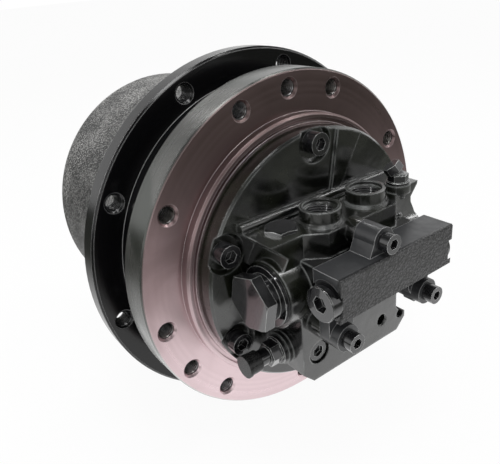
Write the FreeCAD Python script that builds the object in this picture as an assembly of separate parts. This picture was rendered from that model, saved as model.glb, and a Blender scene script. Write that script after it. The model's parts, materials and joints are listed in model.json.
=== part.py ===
import FreeCAD, Part
import math
import os
from FreeCAD import Vector

# Excavator final drive: an axial piston travel motor in a fixed spindle, and a planetary hub
# that turns round it. Millimetres. The drive's axis is Y: the motor's rear cover faces -Y, the
# hub's cover faces +Y, and the two main ports open upwards along +Z. The origin is the centre
# of the frame flange's mounting face, which lies in the plane y = 0.

# --- Clearances ---------------------------------------------------------------------------
gap = 0.3              # between neighbouring surfaces that pass each other without fitting
running = 0.05         # radial clearance of a running or sliding fit
edge = 1.5             # machined edge break on the flanges
fine_edge = 0.6        # edge break on small turned pieces

# --- Frame flange and pilot of the spindle ---------------------------------------------------
flange_t = 25.0
flange_margin = 12.3   # from the bolt circle to the flange's rim
flange_land = 18.2     # from the seal pocket to the bolt circle
frame_land = 17.9      # from the pilot to the bolt circle
frame_singles = 6      # holes spread evenly all round
frame_extra = 20.0     # degrees from a single hole to the hole beside it
frame_tap_r = 6.0      # M14 x 2 tapping drill
frame_csk_r = 7.65
frame_first = 30.0     # angle of the first single hole
pilot_len = 8.0

# --- Rear cover of the motor -----------------------------------------------------------------
cover_t = 16.4
cover_inset = 7.3      # from the pilot's outside to the cover's rim
cover_land = 9.5       # from the cover's rim to its bolt circle
cover_ring_w = 3.0     # sealing ring between the cover and the spindle
cover_ring_inset = 1.5
pilot_groove_w = 2.8   # groove in the pilot's face round the cover
pilot_groove_depth = 3.0
cover_bolt_angles = (22.0, 90.0, 158.0, 205.0, 270.0, 335.0)
cover_bore_r = 9.2     # room for a screw's head and its key through the casting
cover_pocket_r = 14.5  # cast pocket round a screw's head
cover_pocket = 4.4     # depth of the pocket
cover_screw_r = 5.0    # M10
cover_screw_head_r = 8.0
cover_screw_head = 10.0
cover_screw_len = 25.0
cover_tap_depth = 14.0
cover_hole_play = 0.4
cover_ring_depth = 2.4
casting_depth = 60.0   # furthest that a key has to reach past the casting

# --- Casting on the rear cover -----------------------------------------------------------------
body_top = 45.5        # height of the port shelf
body_side = 66.0       # half width across the spool bore's end faces
body_depth = 44.6      # from the cover's face to the front wall under the ports
body_wing_depth = 34.6 # the same beside the ports, where the wall stands back
body_mid = 32.0        # half width of the deeper middle part
body_slant = 13.0      # width of the slanted wall between the middle part and a wing
shelf_left = 71.5      # left end of the shelf
shelf_right = 68.0     # right end of the raised seat beside the ports
drain_seat = 49.5      # height of that seat
drain_seat_left = 44.7 # where the seat rises from the shelf
wing_bottom = 20.0
fillet_r = 1.6         # cast fillet where a collar meets its seat
fillet_h = 1.5
seat_half = 48.0       # half width of the valve block's seat
seat_low = -8.0
barrel_r = 24.0        # cast barrel round the counterbalance spool
spool_y = 21.6         # spool axis in front of the cover's face
spool_z = 5.0
foot_left = 54.0
foot_right = 42.0
foot_ear = 52.5
foot_bottom = 68.0
foot_depth = 39.6
foot_corner = 9.0
foot_notch_z = -54.0
sink = 4.0             # how far the casting's lumps reach into the disc
pad_depth = 51.6       # from the cover's face to the valve block's seat
ridge_r = 3.3          # cast ridge behind the shelf
ridge_z = 47.6
ridge_left = 71.0
ridge_right = 65.0
rib_height = 2.5       # raised gallery rib from the shelf to the cover's rim
rib = [(11.5, 46.0), (20.5, 96.0), (44.0, 88.0), (24.0, 54.0)]
bump_x = 48.0          # domed expander plug over the valve block
bump_z = 26.0
bump_r = 5.0
shelf_plug_x = -48.9   # hexagon plug on the shelf
shelf_plug_depth_y = 17.9
shelf_plug_af = 21.0
shelf_plug_h = 2.6
shelf_plug_turn = 50.6
shelf_plug_r = 7.0
shelf_plug_len = 11.0
gauge_x = -39.0        # plugged gauge port in the foot
gauge_z = -46.0
gauge_r = 9.0
gauge_depth = 5.0
gauge_plug_af = 8.0
gauge_thread_r = 5.0
gauge_plug_len = 8.0
gauge_plug_t = 3.5
foot_hole = (-62.9, 57.0, 4.25, 5.4, 12.0)    # angle, radius, hole, mouth and depth
foot_scallop_r = 4.0

# --- Ports ---------------------------------------------------------------------------------------
port_x = 21.6
port_depth_y = 26.1    # port axes in front of the cover's face
port_collar_r = 14.0
port_rim = 56.0        # height of the port rims
port_mouth_r = 11.6
port_mouth_depth = 3.0
port_thread_r = 9.3    # G1/2 thread, minor radius
port_thread_len = 17.0
port_drill_r = 7.0
port_foot = 30.0       # collars start inside the casting
passage_r = 5.5        # passages to the valve plate
drain_x = 52.0
drain_y = 29.6         # in front of the cover's face
drain_boss_r = 9.0
drain_thread_r = 5.8   # G1/4 thread, minor radius
drain_len = 11.0
drain_collar_r = 8.2
drain_collar_t = 2.0
drain_af = 13.0
drain_hex_len = 5.0
drain_stem_r = 5.0
drain_arm_r = 4.6
drain_nut_af = 12.0
drain_nut_len = 6.0
drain_lean = 35.0      # degrees the blind nut leans to the rear left

# --- Counterbalance spool ------------------------------------------------------------------------
spool_r = 9.0
spool_half = 44.0
cap_af = 36.0          # across the flats of the left spool cap
cap_hex_len = 8.1
cap_turn = 16.7        # degrees the hexagon stands turned by, tightened as it is
cap_flange_r = 21.5
cap_flange_t = 3.0
cap_neck_r = 16.5
cap_neck_len = 5.3
cap_thread_r = 14.0
cap_thread_len = 18.0
cap_cup_r = 9.6
cap_crown = 1.0        # depth of the turned crown on the hexagon
end_plug_af = 12.0     # socket of the flush plug in the right end
end_plug_socket = 4.0
spool_neck_r = 5.5
spool_port = (16.0, 26.0)  # where the spool's middle recesses start and end
spool_spring_r = 6.8
spool_wire = 2.2
spring_room = 16.0     # from the spool's end to the spring's seat
land = 9.0             # length of one land of the spool

# --- Valve block -------------------------------------------------------------------------------
block_half = 53.5
block_bottom = 1.5
block_top = 32.0
block_depth = 24.0
block_screw_r = 4.0    # M8
block_screw_head_r = 6.5
block_screw_head = 8.0
tower_x = -9.0
tower_z = 40.2
tower_r = 9.0
tower_foot = 13.5      # half width where the tower leaves the block's top
tower_step = 6.4       # tower front behind the block's front
ear_x = 40.0
ear_z = -18.6
ear_r = 9.5
ear_t = 9.0
ear_boss = 16.0
relief_z = 13.5
relief_y = 12.0        # relief bore behind the block's front
relief_bore_r = 6.0
relief_bore_len = 40.0
plug_r = 12.0
plug_seat_r = 14.0
plug_thread_r = 9.0
plug_thread_len = 12.0
plug_head_left = 7.5
plug_head_right = 2.5
plug_spot = (1.5, 3.0) # depth of the spotface at the left and the right end
plug_socket_af = 10.0
plug_socket = 6.0
poppet_seat = 13.5     # distance of the poppets' seats from the middle
poppet_len = 12.0
poppet_tip_r = 3.0
relief_spring_r = 3.8
relief_wire = 1.4
relief_passage_r = 5.0
relief_cross_r = 4.0
gasket_t = 0.5
screw_play = 0.5       # round a screw's shank in the valve block
screw_grip = 16.0      # depth of the block's screws in the casting

# --- Speed change spool and its pilot fitting ----------------------------------------------------
speed_y = 17.6         # in front of the cover's face
speed_z = -45.0
speed_r = 6.0
speed_bore_right = 30.0
fitting_thread_r = 7.5
fitting_thread_len = 14.0
fitting_hex_af = 16.0
fitting_reach = 30.5
fitting_cap_r = 8.2
speed_boss_r = 12.0
speed_boss = 4.0       # how far the line's boss stands out of the foot
fitting_collar_r = 10.5
fitting_collar_t = 3.0
fitting_hex_len = 8.0
fitting_nipple_r = 6.0
fitting_sleeve_r = 7.6
fitting_sleeve = 9.0
fitting_rim = 2.2
speed_spool = [(-38, 1), (-28, 1), (-28, 0), (-16, 0), (-16, 1), (-2, 1)]    # x, and 1 on a land
speed_neck_r = 3.5
speed_wire = 1.6

# --- Spindle inside and behind the frame flange ---------------------------------------------------
cavity_r = 58.0        # round the parking brake
motor_bore_r = 55.0    # round the swash plate, with the brake's stop where it starts
neck_step = 14.0       # neck under the floating seal, above the bearing seat
neck_end = 42.0
thread_step = 4.0      # bearing nut thread below the bearing seat
wall_start = 80.0      # motor side of the spindle's end wall
nose_start = 108.0
nose_r = 44.0
nose_end = 121.0

# --- Floating seal -----------------------------------------------------------------------------
seal_space = 20.5      # from the neck to the pocket's wall
seal_band = 6.5        # rubber ring between the pocket's wall and a seal ring
seal_depth = 11.5
seal_ring_t = 8.8
seal_gap = 1.5         # between the spindle flange and the hub

# --- Main bearings -----------------------------------------------------------------------------
bearing_w = 18.0
bearing_space = 20.0   # from the bearing seat to the outer ring's outside
bearing_shoulder = 14.0
bearing_one = 44.0     # near face of the first bearing
bearing_two = 78.0
roller_count = 18
roller_len = 12.0
roller_r = 4.2
roller_tilt = 12.0
nut_slot = 8.0
nut_slot_depth = 4.0
ring_shoulder = 4.0    # hub shoulder behind the outer rings

# --- Hub -----------------------------------------------------------------------------------------
guard_step = 9.0       # guard ring round the seal, above the drum
sprocket_seat = 10.6   # from the guard to the sprocket's bolt circle
sprocket_margin = 12.4
sprocket_front = 50.9
sprocket_t = 15.3
sprocket_holes = 9
sprocket_phase = 33.4
sprocket_tap_r = 6.0
drum_wall = 11.0
drum_root_step = 3.0
ring_wall = 14.0       # from the ring gear's pitch circle to its outside
drum_end = 209.0
drum_round = 9.0
drum_fillet = 5.0
bore_start = 100.0
hub_cover_t = 10.0
hub_cover_back = 193.0
hub_cover_dish_r = 58.0    # shallow recess turned in the cover
hub_cover_dish = 2.5
hub_cover_play = 0.1
hub_ring_w = 2.5       # sealing ring round the cover
hub_ring_t = 3.0
circlip_t = 3.0
circlip_depth = 2.0    # in the hub's groove
circlip_w = 6.0
circlip_gap = 16.0
fill_circle_r = 76.0   # oil plugs
fill_angles = (60, 180, 300)
fill_r = 7.5
fill_head_r = 11.0
fill_head = 3.0
fill_af = 8.0
fill_socket = 3.0

# --- Gear train ------------------------------------------------------------------------------------
module = 2.5
pressure_angle = 20.0
ring_teeth = 72
sun_1_teeth = 12
planet_1_teeth = 30
sun_2_teeth = 18
planet_2_teeth = 27
planets = 3
planet_phase = 90.0    # degrees from +X to the first planet
backlash = 0.5
face_2 = 24.0
face_1 = 18.0
ring_start = 124.0
planet_2_start = 126.5
carrier_1_start = 153.5
carrier_1_t = 10.0
planet_1_start = 165.0
pin_2_r = 11.0
pin_1_r = 8.0
needles = 10
needle_2_r = 2.6
needle_1_r = 2.2
washer_t = 1.2
pin_head_t = 2.0
sun_shaft_r = 8.5
sun_hub_r = 14.0
sun_play = 2.0         # round the input sun's shaft
sun_tail_r = 7.0
sun_engaged = 14.0     # length of the sun's shaft in the motor shaft
pin_seat = 3.0         # depth of the pins' holes from the carrier's back
carrier_window_r = 9.0
carrier_window_circle = 46.0
carrier_bore_r = 26.0
thrust_pad_r = 16.0
thrust_pad_t = 2.0

# --- Piston motor ------------------------------------------------------------------------------------
shaft_r = 12.0
shaft_back = 12.0      # length of the shaft's journal in the rear cover
shaft_nose_r = 15.0
needle_shell_r = 16.0
shaft_bearing_out_r = 31.0
shaft_bearing_in_r = 15.0
shaft_bearing_w = 16.0
shaft_balls = 8
shaft_ball_r = 4.4
seal_r = 22.0
seal_w = 8.0
seal_lip = 1.2
seal_back = 1.5        # from the ball bearing to the shaft seal
valve_plate_t = 4.0
valve_plate_r = 40.0
valve_plate_bore_r = 17.0
kidney_half = 3.5
kidney_angle = 60.0    # half of each slot's angle
barrel_start = -3.7
barrel_len = 48.0
block_r = 42.0
piston_count = 9
piston_circle = 31.0
piston_r = 7.4
piston_len = 36.0
piston_neck_r = 3.0
piston_neck = 6.0
piston_drill_r = 3.5
bore_play = 0.1
bore_bottom = 5.0
swash_angle = 14.0
swash_range = 6.0
swash_face = 62.0      # where the swash plate's face crosses the axis
swash_r = 47.0
swash_bore_r = 20.0
swash_pivot = 74.0
pivot_x = 39.0
pivot_r = 6.0
pivot_half = 4.5       # half length of a pivot pin
shoe_r = 9.5
shoe_t = 3.0
shoe_cup_r = 6.8
shoe_cup = 4.5
ball_joint_r = 4.6
ball_depth = 3.0       # ball centre above the shoe's disc
retainer_t = 2.5
retainer_r = 43.5
retainer_bore_r = 18.0
retainer_play = 0.7
bush_r = 15.5
bush_len = 9.0
control_z = 44.0
control_r = 7.0
control_len = 12.0
control_tip_r = 20.0   # radius of the domed end that pushes the swash plate

# --- Parking brake ------------------------------------------------------------------------------------
brake_start = 14.0
disc_t = 2.2
plate_t = 2.0
discs = 3
disc_out_r = 54.0
plate_in_r = 45.0
brake_piston_t = 9.0
brake_springs = 6
brake_spring_r = 3.2
brake_spring_circle = 51.5
brake_wire = 1.2
brake_pocket = 4.0

# --- Sizes that follow from the ones above ------------------------------------------------------------
drum_bore_r = module * ring_teeth / 2 + ring_wall
drum_r = drum_bore_r + drum_wall
drum_root_r = drum_r + drum_root_step
guard_r = drum_r + guard_step
sprocket_bolt_r = guard_r + sprocket_seat
sprocket_r = sprocket_bolt_r + sprocket_margin
bearing_out_r = drum_bore_r - bearing_shoulder
seat_r = bearing_out_r - bearing_space
roller_centre = (seat_r + bearing_out_r) / 2
nut_out_r = roller_centre
thread_r = seat_r - thread_step
neck_r = seat_r + neck_step
seal_pocket_r = neck_r + seal_space
seal_ring_out = seal_pocket_r - seal_band
frame_bolt_r = seal_pocket_r + flange_land
flange_r = frame_bolt_r + flange_margin
pilot_r = frame_bolt_r - frame_land
cover_r = pilot_r - cover_inset
cover_bolt_r = cover_r - cover_land
cover_ring_r = cover_r - cover_ring_inset
pilot_groove_r = cover_r + 1.0
carrier_2_r = module * (sun_2_teeth + planet_2_teeth) / 2 + pin_2_r + 5.75
carrier_1_r = module * (sun_1_teeth + planet_1_teeth) / 2 + pin_1_r + 5.5
cover_seat = -pilot_len
cover_face = cover_seat - cover_t
block_seat = cover_face - pad_depth
block_front = block_seat - block_depth
hub_front = flange_t + seal_gap
ring_end = planet_1_start + face_1 + 2.0
planet_angles = [planet_phase + 360.0 * k / planets for k in range(planets)]


# --- Shapes used all over ---------------------------------------------------------------------------
def place(angle, radius, y):
    """Point at an angle from +X towards +Z round the drive's axis."""
    a = math.radians(angle)
    return Vector(radius * math.cos(a), y, radius * math.sin(a))


def rod(axis, centre, r, start, length):
    """Cylinder along X, Y or Z through centre; start is its first coordinate on that axis."""
    base = Vector(centre)
    direction = Vector(0, 0, 0)
    setattr(base, axis, start)
    setattr(direction, axis, 1)
    return Part.makeCylinder(r, length, base, direction)


def tube(axis, centre, r_out, r_in, start, length):
    return rod(axis, centre, r_out, start, length).cut(rod(axis, centre, r_in, start - 1, length + 2))


def cone(axis, centre, r_start, r_end, start, length):
    base = Vector(centre)
    direction = Vector(0, 0, 0)
    setattr(base, axis, start)
    setattr(direction, axis, 1)
    return Part.makeCone(r_start, r_end, length, base, direction)


def box(x0, x1, y0, y1, z0, z1):
    return Part.makeBox(x1 - x0, y1 - y0, z1 - z0, Vector(x0, y0, z0))


def turned(profile, centre=Vector(0, 0, 0)):
    """Solid of revolution about a line along Y through centre, from (radius, y) points."""
    points = [Vector(centre.x + r, y, centre.z) for r, y in profile]
    face = Part.Face(Part.makePolygon(points + points[:1]))
    return face.revolve(centre, Vector(0, 1, 0), 360)


def turned_x(profile, y, z):
    """Solid of revolution about a line along X, from (radius, x) points."""
    points = [Vector(x, y, z + r) for r, x in profile]
    face = Part.Face(Part.makePolygon(points + points[:1]))
    return face.revolve(Vector(0, y, z), Vector(1, 0, 0), 360)


def slab(points, y_start, length):
    """Plate square to Y, from (x, z) corners."""
    corners = [Vector(x, y_start, z) for x, z in points]
    return Part.Face(Part.makePolygon(corners + corners[:1])).extrude(Vector(0, length, 0))


def hexagon(axis, centre, across, start, length, turn=0.0):
    """Hexagonal prism along X, Y or Z, measured across its flats and turned by degrees."""
    corner = across / math.sqrt(3)
    first, second = {"x": ("y", "z"), "y": ("x", "z"), "z": ("x", "y")}[axis]
    points = []
    for k in range(6):
        a = math.radians(60 * k + turn)
        p = Vector(centre)
        setattr(p, axis, start)
        setattr(p, first, getattr(centre, first) + corner * math.cos(a))
        setattr(p, second, getattr(centre, second) + corner * math.sin(a))
        points.append(p)
    direction = Vector(0, 0, 0)
    setattr(direction, axis, length)
    return Part.Face(Part.makePolygon(points + points[:1])).extrude(direction)


def countersunk(angle, radius, y, r_hole, r_mouth, length, sign):
    """Drill with a countersunk mouth at y; sign is the way it goes into the material."""
    p = place(angle, radius, 0)
    start = y if sign > 0 else y - length
    drill = rod("y", p, r_hole, start - 1, length + 2)
    mouth = r_mouth - r_hole
    if sign > 0:
        return drill.fuse(cone("y", p, r_mouth + 1, r_hole, y - 1, 1 + mouth))
    return drill.fuse(cone("y", p, r_hole, r_mouth + 1, y - mouth, 1 + mouth))


def joined(body, parts):
    """Fuse lumps onto a casting one after the other."""
    for part in parts:
        body = body.fuse(part)
    return body


def drilled(body, cuts):
    """Make cuts in a casting one after the other."""
    for cut in cuts:
        body = body.cut(cut)
    return body


def cap_screw(point, shank_r, head_r, head, length):
    """Socket head cap screw that goes in along +Y; point is the seat under its head."""
    socket = 0.8 * shank_r * 2
    screw = rod("y", point, head_r, point.y - head, head)
    screw = screw.cut(hexagon("y", point, socket, point.y - head, 0.55 * head))
    return screw.fuse(rod("y", point, shank_r, point.y, length))


def faceted(points, loops):
    """Closed solid from flat polygon faces that share their corners."""
    faces = [Part.Face(Part.makePolygon([points[i] for i in loop] + [points[loop[0]]])) for loop in loops]
    return Part.makeSolid(Part.makeShell(faces))


def coil_spring(axis, centre, mean_r, wire, start, end, turns, steps=8):
    """Compression spring of square wire, bent in straight steps, between start and end."""
    half = wire / 2
    count = int(turns * steps)
    rise = (end - start - wire) / count
    first, second = {"x": ("y", "z"), "y": ("x", "z"), "z": ("x", "y")}[axis]
    points = []
    for k in range(count + 1):
        a = 2 * math.pi * k / steps
        for r, lift in ((mean_r - half, -half), (mean_r + half, -half), (mean_r + half, half), (mean_r - half, half)):
            p = Vector(centre)
            setattr(p, axis, start + half + rise * k + lift)
            setattr(p, first, getattr(centre, first) + r * math.cos(a))
            setattr(p, second, getattr(centre, second) + r * math.sin(a))
            points.append(p)
    loops = [(0, 1, 2, 3), tuple(4 * count + i for i in (3, 2, 1, 0))]
    for k in range(count):
        for i in range(4):
            a, b = 4 * k + i, 4 * k + (i + 1) % 4
            c, d = b + 4, a + 4
            loops += [(a, c, b), (a, d, c)]
    solid = faceted(points, loops)
    return solid if solid.Volume > 0 else solid.reversed()


# --- Gears ---------------------------------------------------------------------------------------------
def tooth_angle(teeth, r, thinner):
    """Half angle of an involute tooth at radius r, its thickness reduced by thinner."""
    pitch_r = module * teeth / 2
    base_r = pitch_r * math.cos(math.radians(pressure_angle))
    def involute(x):
        return math.tan(x) - x
    at_r = math.acos(min(1.0, base_r / r))
    at_pitch = math.radians(pressure_angle)
    half = math.pi / (2 * teeth) - thinner / (2 * pitch_r)
    return half + involute(at_pitch) - involute(at_r)


def gear(teeth, y, face, centre, first_tooth, r_tip, r_root, thinner):
    """Spur gear blank with straight-sided teeth; first_tooth is a tooth's angle in degrees."""
    points = []
    tip = tooth_angle(teeth, r_tip, thinner)
    root = tooth_angle(teeth, r_root, thinner)
    for k in range(teeth):
        middle = math.radians(first_tooth) + 2 * math.pi * k / teeth
        for r, turn in ((r_root, -root), (r_tip, -tip), (r_tip, tip), (r_root, root)):
            a = middle + turn
            points.append((centre.x + r * math.cos(a), centre.z + r * math.sin(a)))
    return slab(points, y, face)


def outer_gear(teeth, y, face, centre, first_tooth):
    pitch_r = module * teeth / 2
    return gear(teeth, y, face, centre, first_tooth, pitch_r + module, pitch_r - 1.25 * module, backlash / 2)


# --- Spindle and frame flange ---------------------------------------------------------------------------
def make_spindle():
    wall_bore = shaft_bearing_out_r
    seal_seat = wall_start + shaft_bearing_w + seal_back
    profile = [
        (cavity_r, cover_seat), (pilot_r - edge, cover_seat), (pilot_r, cover_seat + edge), (pilot_r, 0),
        (flange_r - edge, 0), (flange_r, edge), (flange_r, flange_t - edge), (flange_r - edge, flange_t),
        (seal_pocket_r, flange_t), (seal_pocket_r, flange_t - seal_depth), (neck_r, flange_t - seal_depth),
        (neck_r, neck_end), (seat_r, neck_end + 2), (seat_r, bearing_two + bearing_w),
        (thread_r, bearing_two + bearing_w), (thread_r, nose_start), (nose_r, nose_start), (nose_r, nose_end),
        (shaft_nose_r + gap, nose_end), (shaft_nose_r + gap, seal_seat + seal_w), (seal_r, seal_seat + seal_w),
        (seal_r, seal_seat), (wall_bore - 4, seal_seat), (wall_bore - 4, wall_start + shaft_bearing_w),
        (wall_bore, wall_start + shaft_bearing_w), (wall_bore, wall_start), (motor_bore_r, wall_start),
        (motor_bore_r, brake_stack()[2]), (cavity_r, brake_stack()[2]),
    ]
    body = turned(profile)
    step = 360.0 / frame_singles
    angles = [frame_first + step * k for k in range(frame_singles)]
    angles += [a + side * frame_extra for a in angles[1::2] for side in (-1, 1)]
    drills = [countersunk(a, frame_bolt_r, 0, frame_tap_r, frame_csk_r, flange_t, 1) for a in angles]
    drills += [rod("y", place(a, cover_bolt_r, cover_seat), cover_screw_r, cover_seat - 1, cover_tap_depth + 1)
               for a in cover_bolt_angles]
    drills.append(rod("y", Vector(0, 0, control_z), control_r, wall_start - 1, control_len + 5))
    drills += [pivot_pin(side, 0) for side in (-1, 1)]
    groove_out = pilot_groove_r + pilot_groove_w
    drills.append(tube("y", Vector(), groove_out, pilot_groove_r, cover_seat - 1, pilot_groove_depth + 1))
    return body.cut(drills)


def make_cover_screws():
    screws = []
    for a in cover_bolt_angles:
        seat = place(a, cover_bolt_r, cover_face + cover_pocket)
        screws.append(cap_screw(seat, cover_screw_r, cover_screw_head_r, cover_screw_head, cover_screw_len))
    return screws


def make_cover_ring():
    """O-ring between the cover and the pilot, pressed flat in its groove."""
    return [tube("y", Vector(), cover_ring_r, cover_ring_r - cover_ring_w, cover_seat - cover_ring_depth,
                 cover_ring_depth)]


# --- Rear cover with its valve casting ----------------------------------------------------------------------
def wing_outline():
    """Front view of the upper casting, with waists under the shelf on both sides."""
    left = [(-body_side, wing_bottom), (-body_side + 8, wing_bottom + 13), (-shelf_left, body_top)]
    seat = [(drain_seat_left, body_top), (drain_seat_left, drain_seat), (shelf_right, drain_seat)]
    right = [(shelf_right - 0.5, 47), (shelf_right - 7.2, 39), (shelf_right - 7, 35), (shelf_right - 3.4, 28),
             (shelf_right, wing_bottom)]
    return left + seat + right


def foot_outline():
    left = [(-foot_left, 0), (-foot_left, -foot_bottom + foot_corner), (-foot_left + foot_corner, -foot_bottom)]
    right = [(foot_ear - foot_corner, -foot_bottom), (foot_ear, -foot_bottom + foot_corner), (foot_ear, foot_notch_z),
             (foot_right + 6, foot_notch_z), (foot_right, foot_notch_z + 8), (foot_right, 0)]
    return left + right


def column(points, z_start, height):
    """Prism along Z on a polygon of (x, y) points."""
    corners = [Vector(x, y, z_start) for x, y in points]
    return Part.Face(Part.makePolygon(corners + corners[:1])).extrude(Vector(0, 0, height))


def make_body():
    """Lumps of the casting in front of the cover's disc."""
    y_wing = cover_face - body_wing_depth
    y_mid = cover_face - body_depth
    y_spool = cover_face - spool_y
    parts = [slab(wing_outline(), y_wing, body_wing_depth + sink)]
    outer = body_mid + body_slant
    middle = [(-outer, cover_face), (-outer, y_wing), (-body_mid, y_mid), (body_mid, y_mid), (outer, y_wing),
              (outer, cover_face)]
    parts.append(column(middle, 0, body_top))
    parts.append(rod("x", Vector(0, y_spool, spool_z), barrel_r, -body_side, 2 * body_side))
    parts.append(slab(foot_outline(), cover_face - foot_depth, foot_depth + sink))
    corner = (seat_half - foot_corner + 1, seat_low)
    seat = [(-corner[0], corner[1]), (-seat_half, 0), (-seat_half, block_top - 4), (seat_half, block_top - 4),
            (seat_half, 0), corner]
    parts.append(slab(seat, block_seat, pad_depth - spool_y))
    for side in (-1, 1):
        parts.append(rod("y", Vector(side * ear_x, 0, ear_z), ear_r, block_seat, pad_depth - 8))
        collar = Vector(side * port_x, cover_face - port_depth_y, 0)
        parts.append(rod("z", collar, port_collar_r, port_foot, port_rim - port_foot))
        parts.append(rod("z", collar, port_collar_r + fillet_r, port_foot, body_top + fillet_h - port_foot))
    parts.append(rod("y", Vector(tower_x, 0, tower_z), tower_r - 0.4, block_seat, 10))
    parts.append(rod("x", Vector(0, cover_face - 2.8, ridge_z), ridge_r, -ridge_left, ridge_left + ridge_right))
    drain = Vector(drain_x, cover_face - drain_y, 0)
    parts.append(rod("z", drain, drain_boss_r, drain_seat - 5, 5 + fillet_h))
    parts.append(Part.makeSphere(bump_r, Vector(bump_x, y_wing + 2, bump_z)))
    speed = Vector(0, cover_face - speed_y, speed_z)
    parts.append(rod("x", speed, speed_boss_r, -foot_left - speed_boss, 20))
    parts.append(slab(rib, cover_face - rib_height, rib_height + 1).common(rod("y", Vector(), cover_r - edge, -90, 90)))
    return parts


def make_rear_cover():
    disc = turned([(0, cover_seat), (cover_r, cover_seat), (cover_r, cover_face + edge), (cover_r - edge, cover_face),
                   (0, cover_face)])
    pockets = []
    for a in cover_bolt_angles:
        p = place(a, cover_bolt_r, 0)
        pockets.append(cone("y", p, cover_pocket_r, cover_pocket_r - cover_pocket / 2, cover_face, cover_pocket))
    body = joined(drilled(disc, pockets), make_body())
    y_spool = cover_face - spool_y
    cuts = []
    for a in cover_bolt_angles:
        p = place(a, cover_bolt_r, 0)
        cuts.append(rod("y", p, cover_bore_r, cover_face - casting_depth, casting_depth + cover_pocket))
        cuts.append(rod("y", p, cover_screw_r + cover_hole_play, cover_face, cover_t + 1))
    cuts.append(rod("x", Vector(0, y_spool, spool_z), spool_r, -body_side - 1, 2 * body_side + 2))
    for side in (-1, 1):
        start = body_side - cap_thread_len if side > 0 else -body_side - 1
        cuts.append(rod("x", Vector(0, y_spool, spool_z), cap_thread_r, start, cap_thread_len + 1))
        port = Vector(side * port_x, cover_face - port_depth_y, 0)
        cuts.append(rod("z", port, port_thread_r, port_rim - port_mouth_depth - port_thread_len, port_thread_len + 9))
        cuts.append(rod("z", port, port_mouth_r, port_rim - port_mouth_depth, port_mouth_depth + 1))
        cuts.append(rod("z", port, port_drill_r, spool_z, port_rim - spool_z))
        cuts.append(rod("y", Vector(side * piston_circle, 0, spool_z), passage_r, y_spool, -y_spool))
        cuts.append(rod("y", Vector(side * ear_x, 0, ear_z), block_screw_r, block_seat - 1, screw_grip + 6))
    cuts.append(rod("y", Vector(tower_x, 0, tower_z), block_screw_r, block_seat - 1, screw_grip + 2))
    cuts.append(rod("y", Vector(), needle_shell_r, cover_seat - shaft_back - 3, shaft_back + 4))
    cuts.append(tube("y", Vector(), cover_ring_r, cover_ring_r - cover_ring_w, cover_seat - cover_ring_depth,
                     cover_ring_depth + 1))
    drain = Vector(drain_x, cover_face - drain_y, 0)
    cuts.append(rod("z", drain, drain_thread_r, drain_seat + fillet_h - drain_len, drain_len + 1))
    speed = Vector(0, cover_face - speed_y, speed_z)
    outside = -foot_left - speed_boss
    cuts.append(rod("x", speed, speed_r, outside - 1, speed_bore_right - outside + 1))
    cuts.append(rod("x", speed, fitting_thread_r, outside - 1, fitting_thread_len + 1))
    foot_face = cover_face - foot_depth
    cuts.append(rod("y", Vector(gauge_x, 0, gauge_z), gauge_r, foot_face - 1, gauge_depth + 1))
    cuts.append(rod("y", Vector(gauge_x, 0, gauge_z), gauge_thread_r, foot_face, gauge_depth + gauge_plug_len + 1))
    angle, radius, r_hole, r_mouth, depth = foot_hole
    cuts.append(countersunk(angle, radius, foot_face, r_hole, r_mouth, depth, 1))
    cuts.append(rod("y", Vector(foot_right + 5, 0, foot_notch_z), foot_scallop_r, foot_face - 1, foot_depth - 6))
    shelf_plug = Vector(shelf_plug_x, cover_face - shelf_plug_depth_y, 0)
    cuts.append(rod("z", shelf_plug, shelf_plug_r, body_top - shelf_plug_len - 1, shelf_plug_len + 2))
    return [drilled(body, cuts)]


def make_block_gasket():
    """Thin gasket between the casting and the valve block."""
    half = seat_half - 2
    top = block_top - 6
    seat = [(-half + 8, 2), (-half, 6), (-half, top), (half, top), (half, 6), (half - 8, 2)]
    sheet = slab(seat, block_seat - gasket_t, gasket_t)
    return [sheet.cut(rod("y", Vector(0, 0, relief_z), relief_passage_r, block_seat - 1, 2))]


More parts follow.
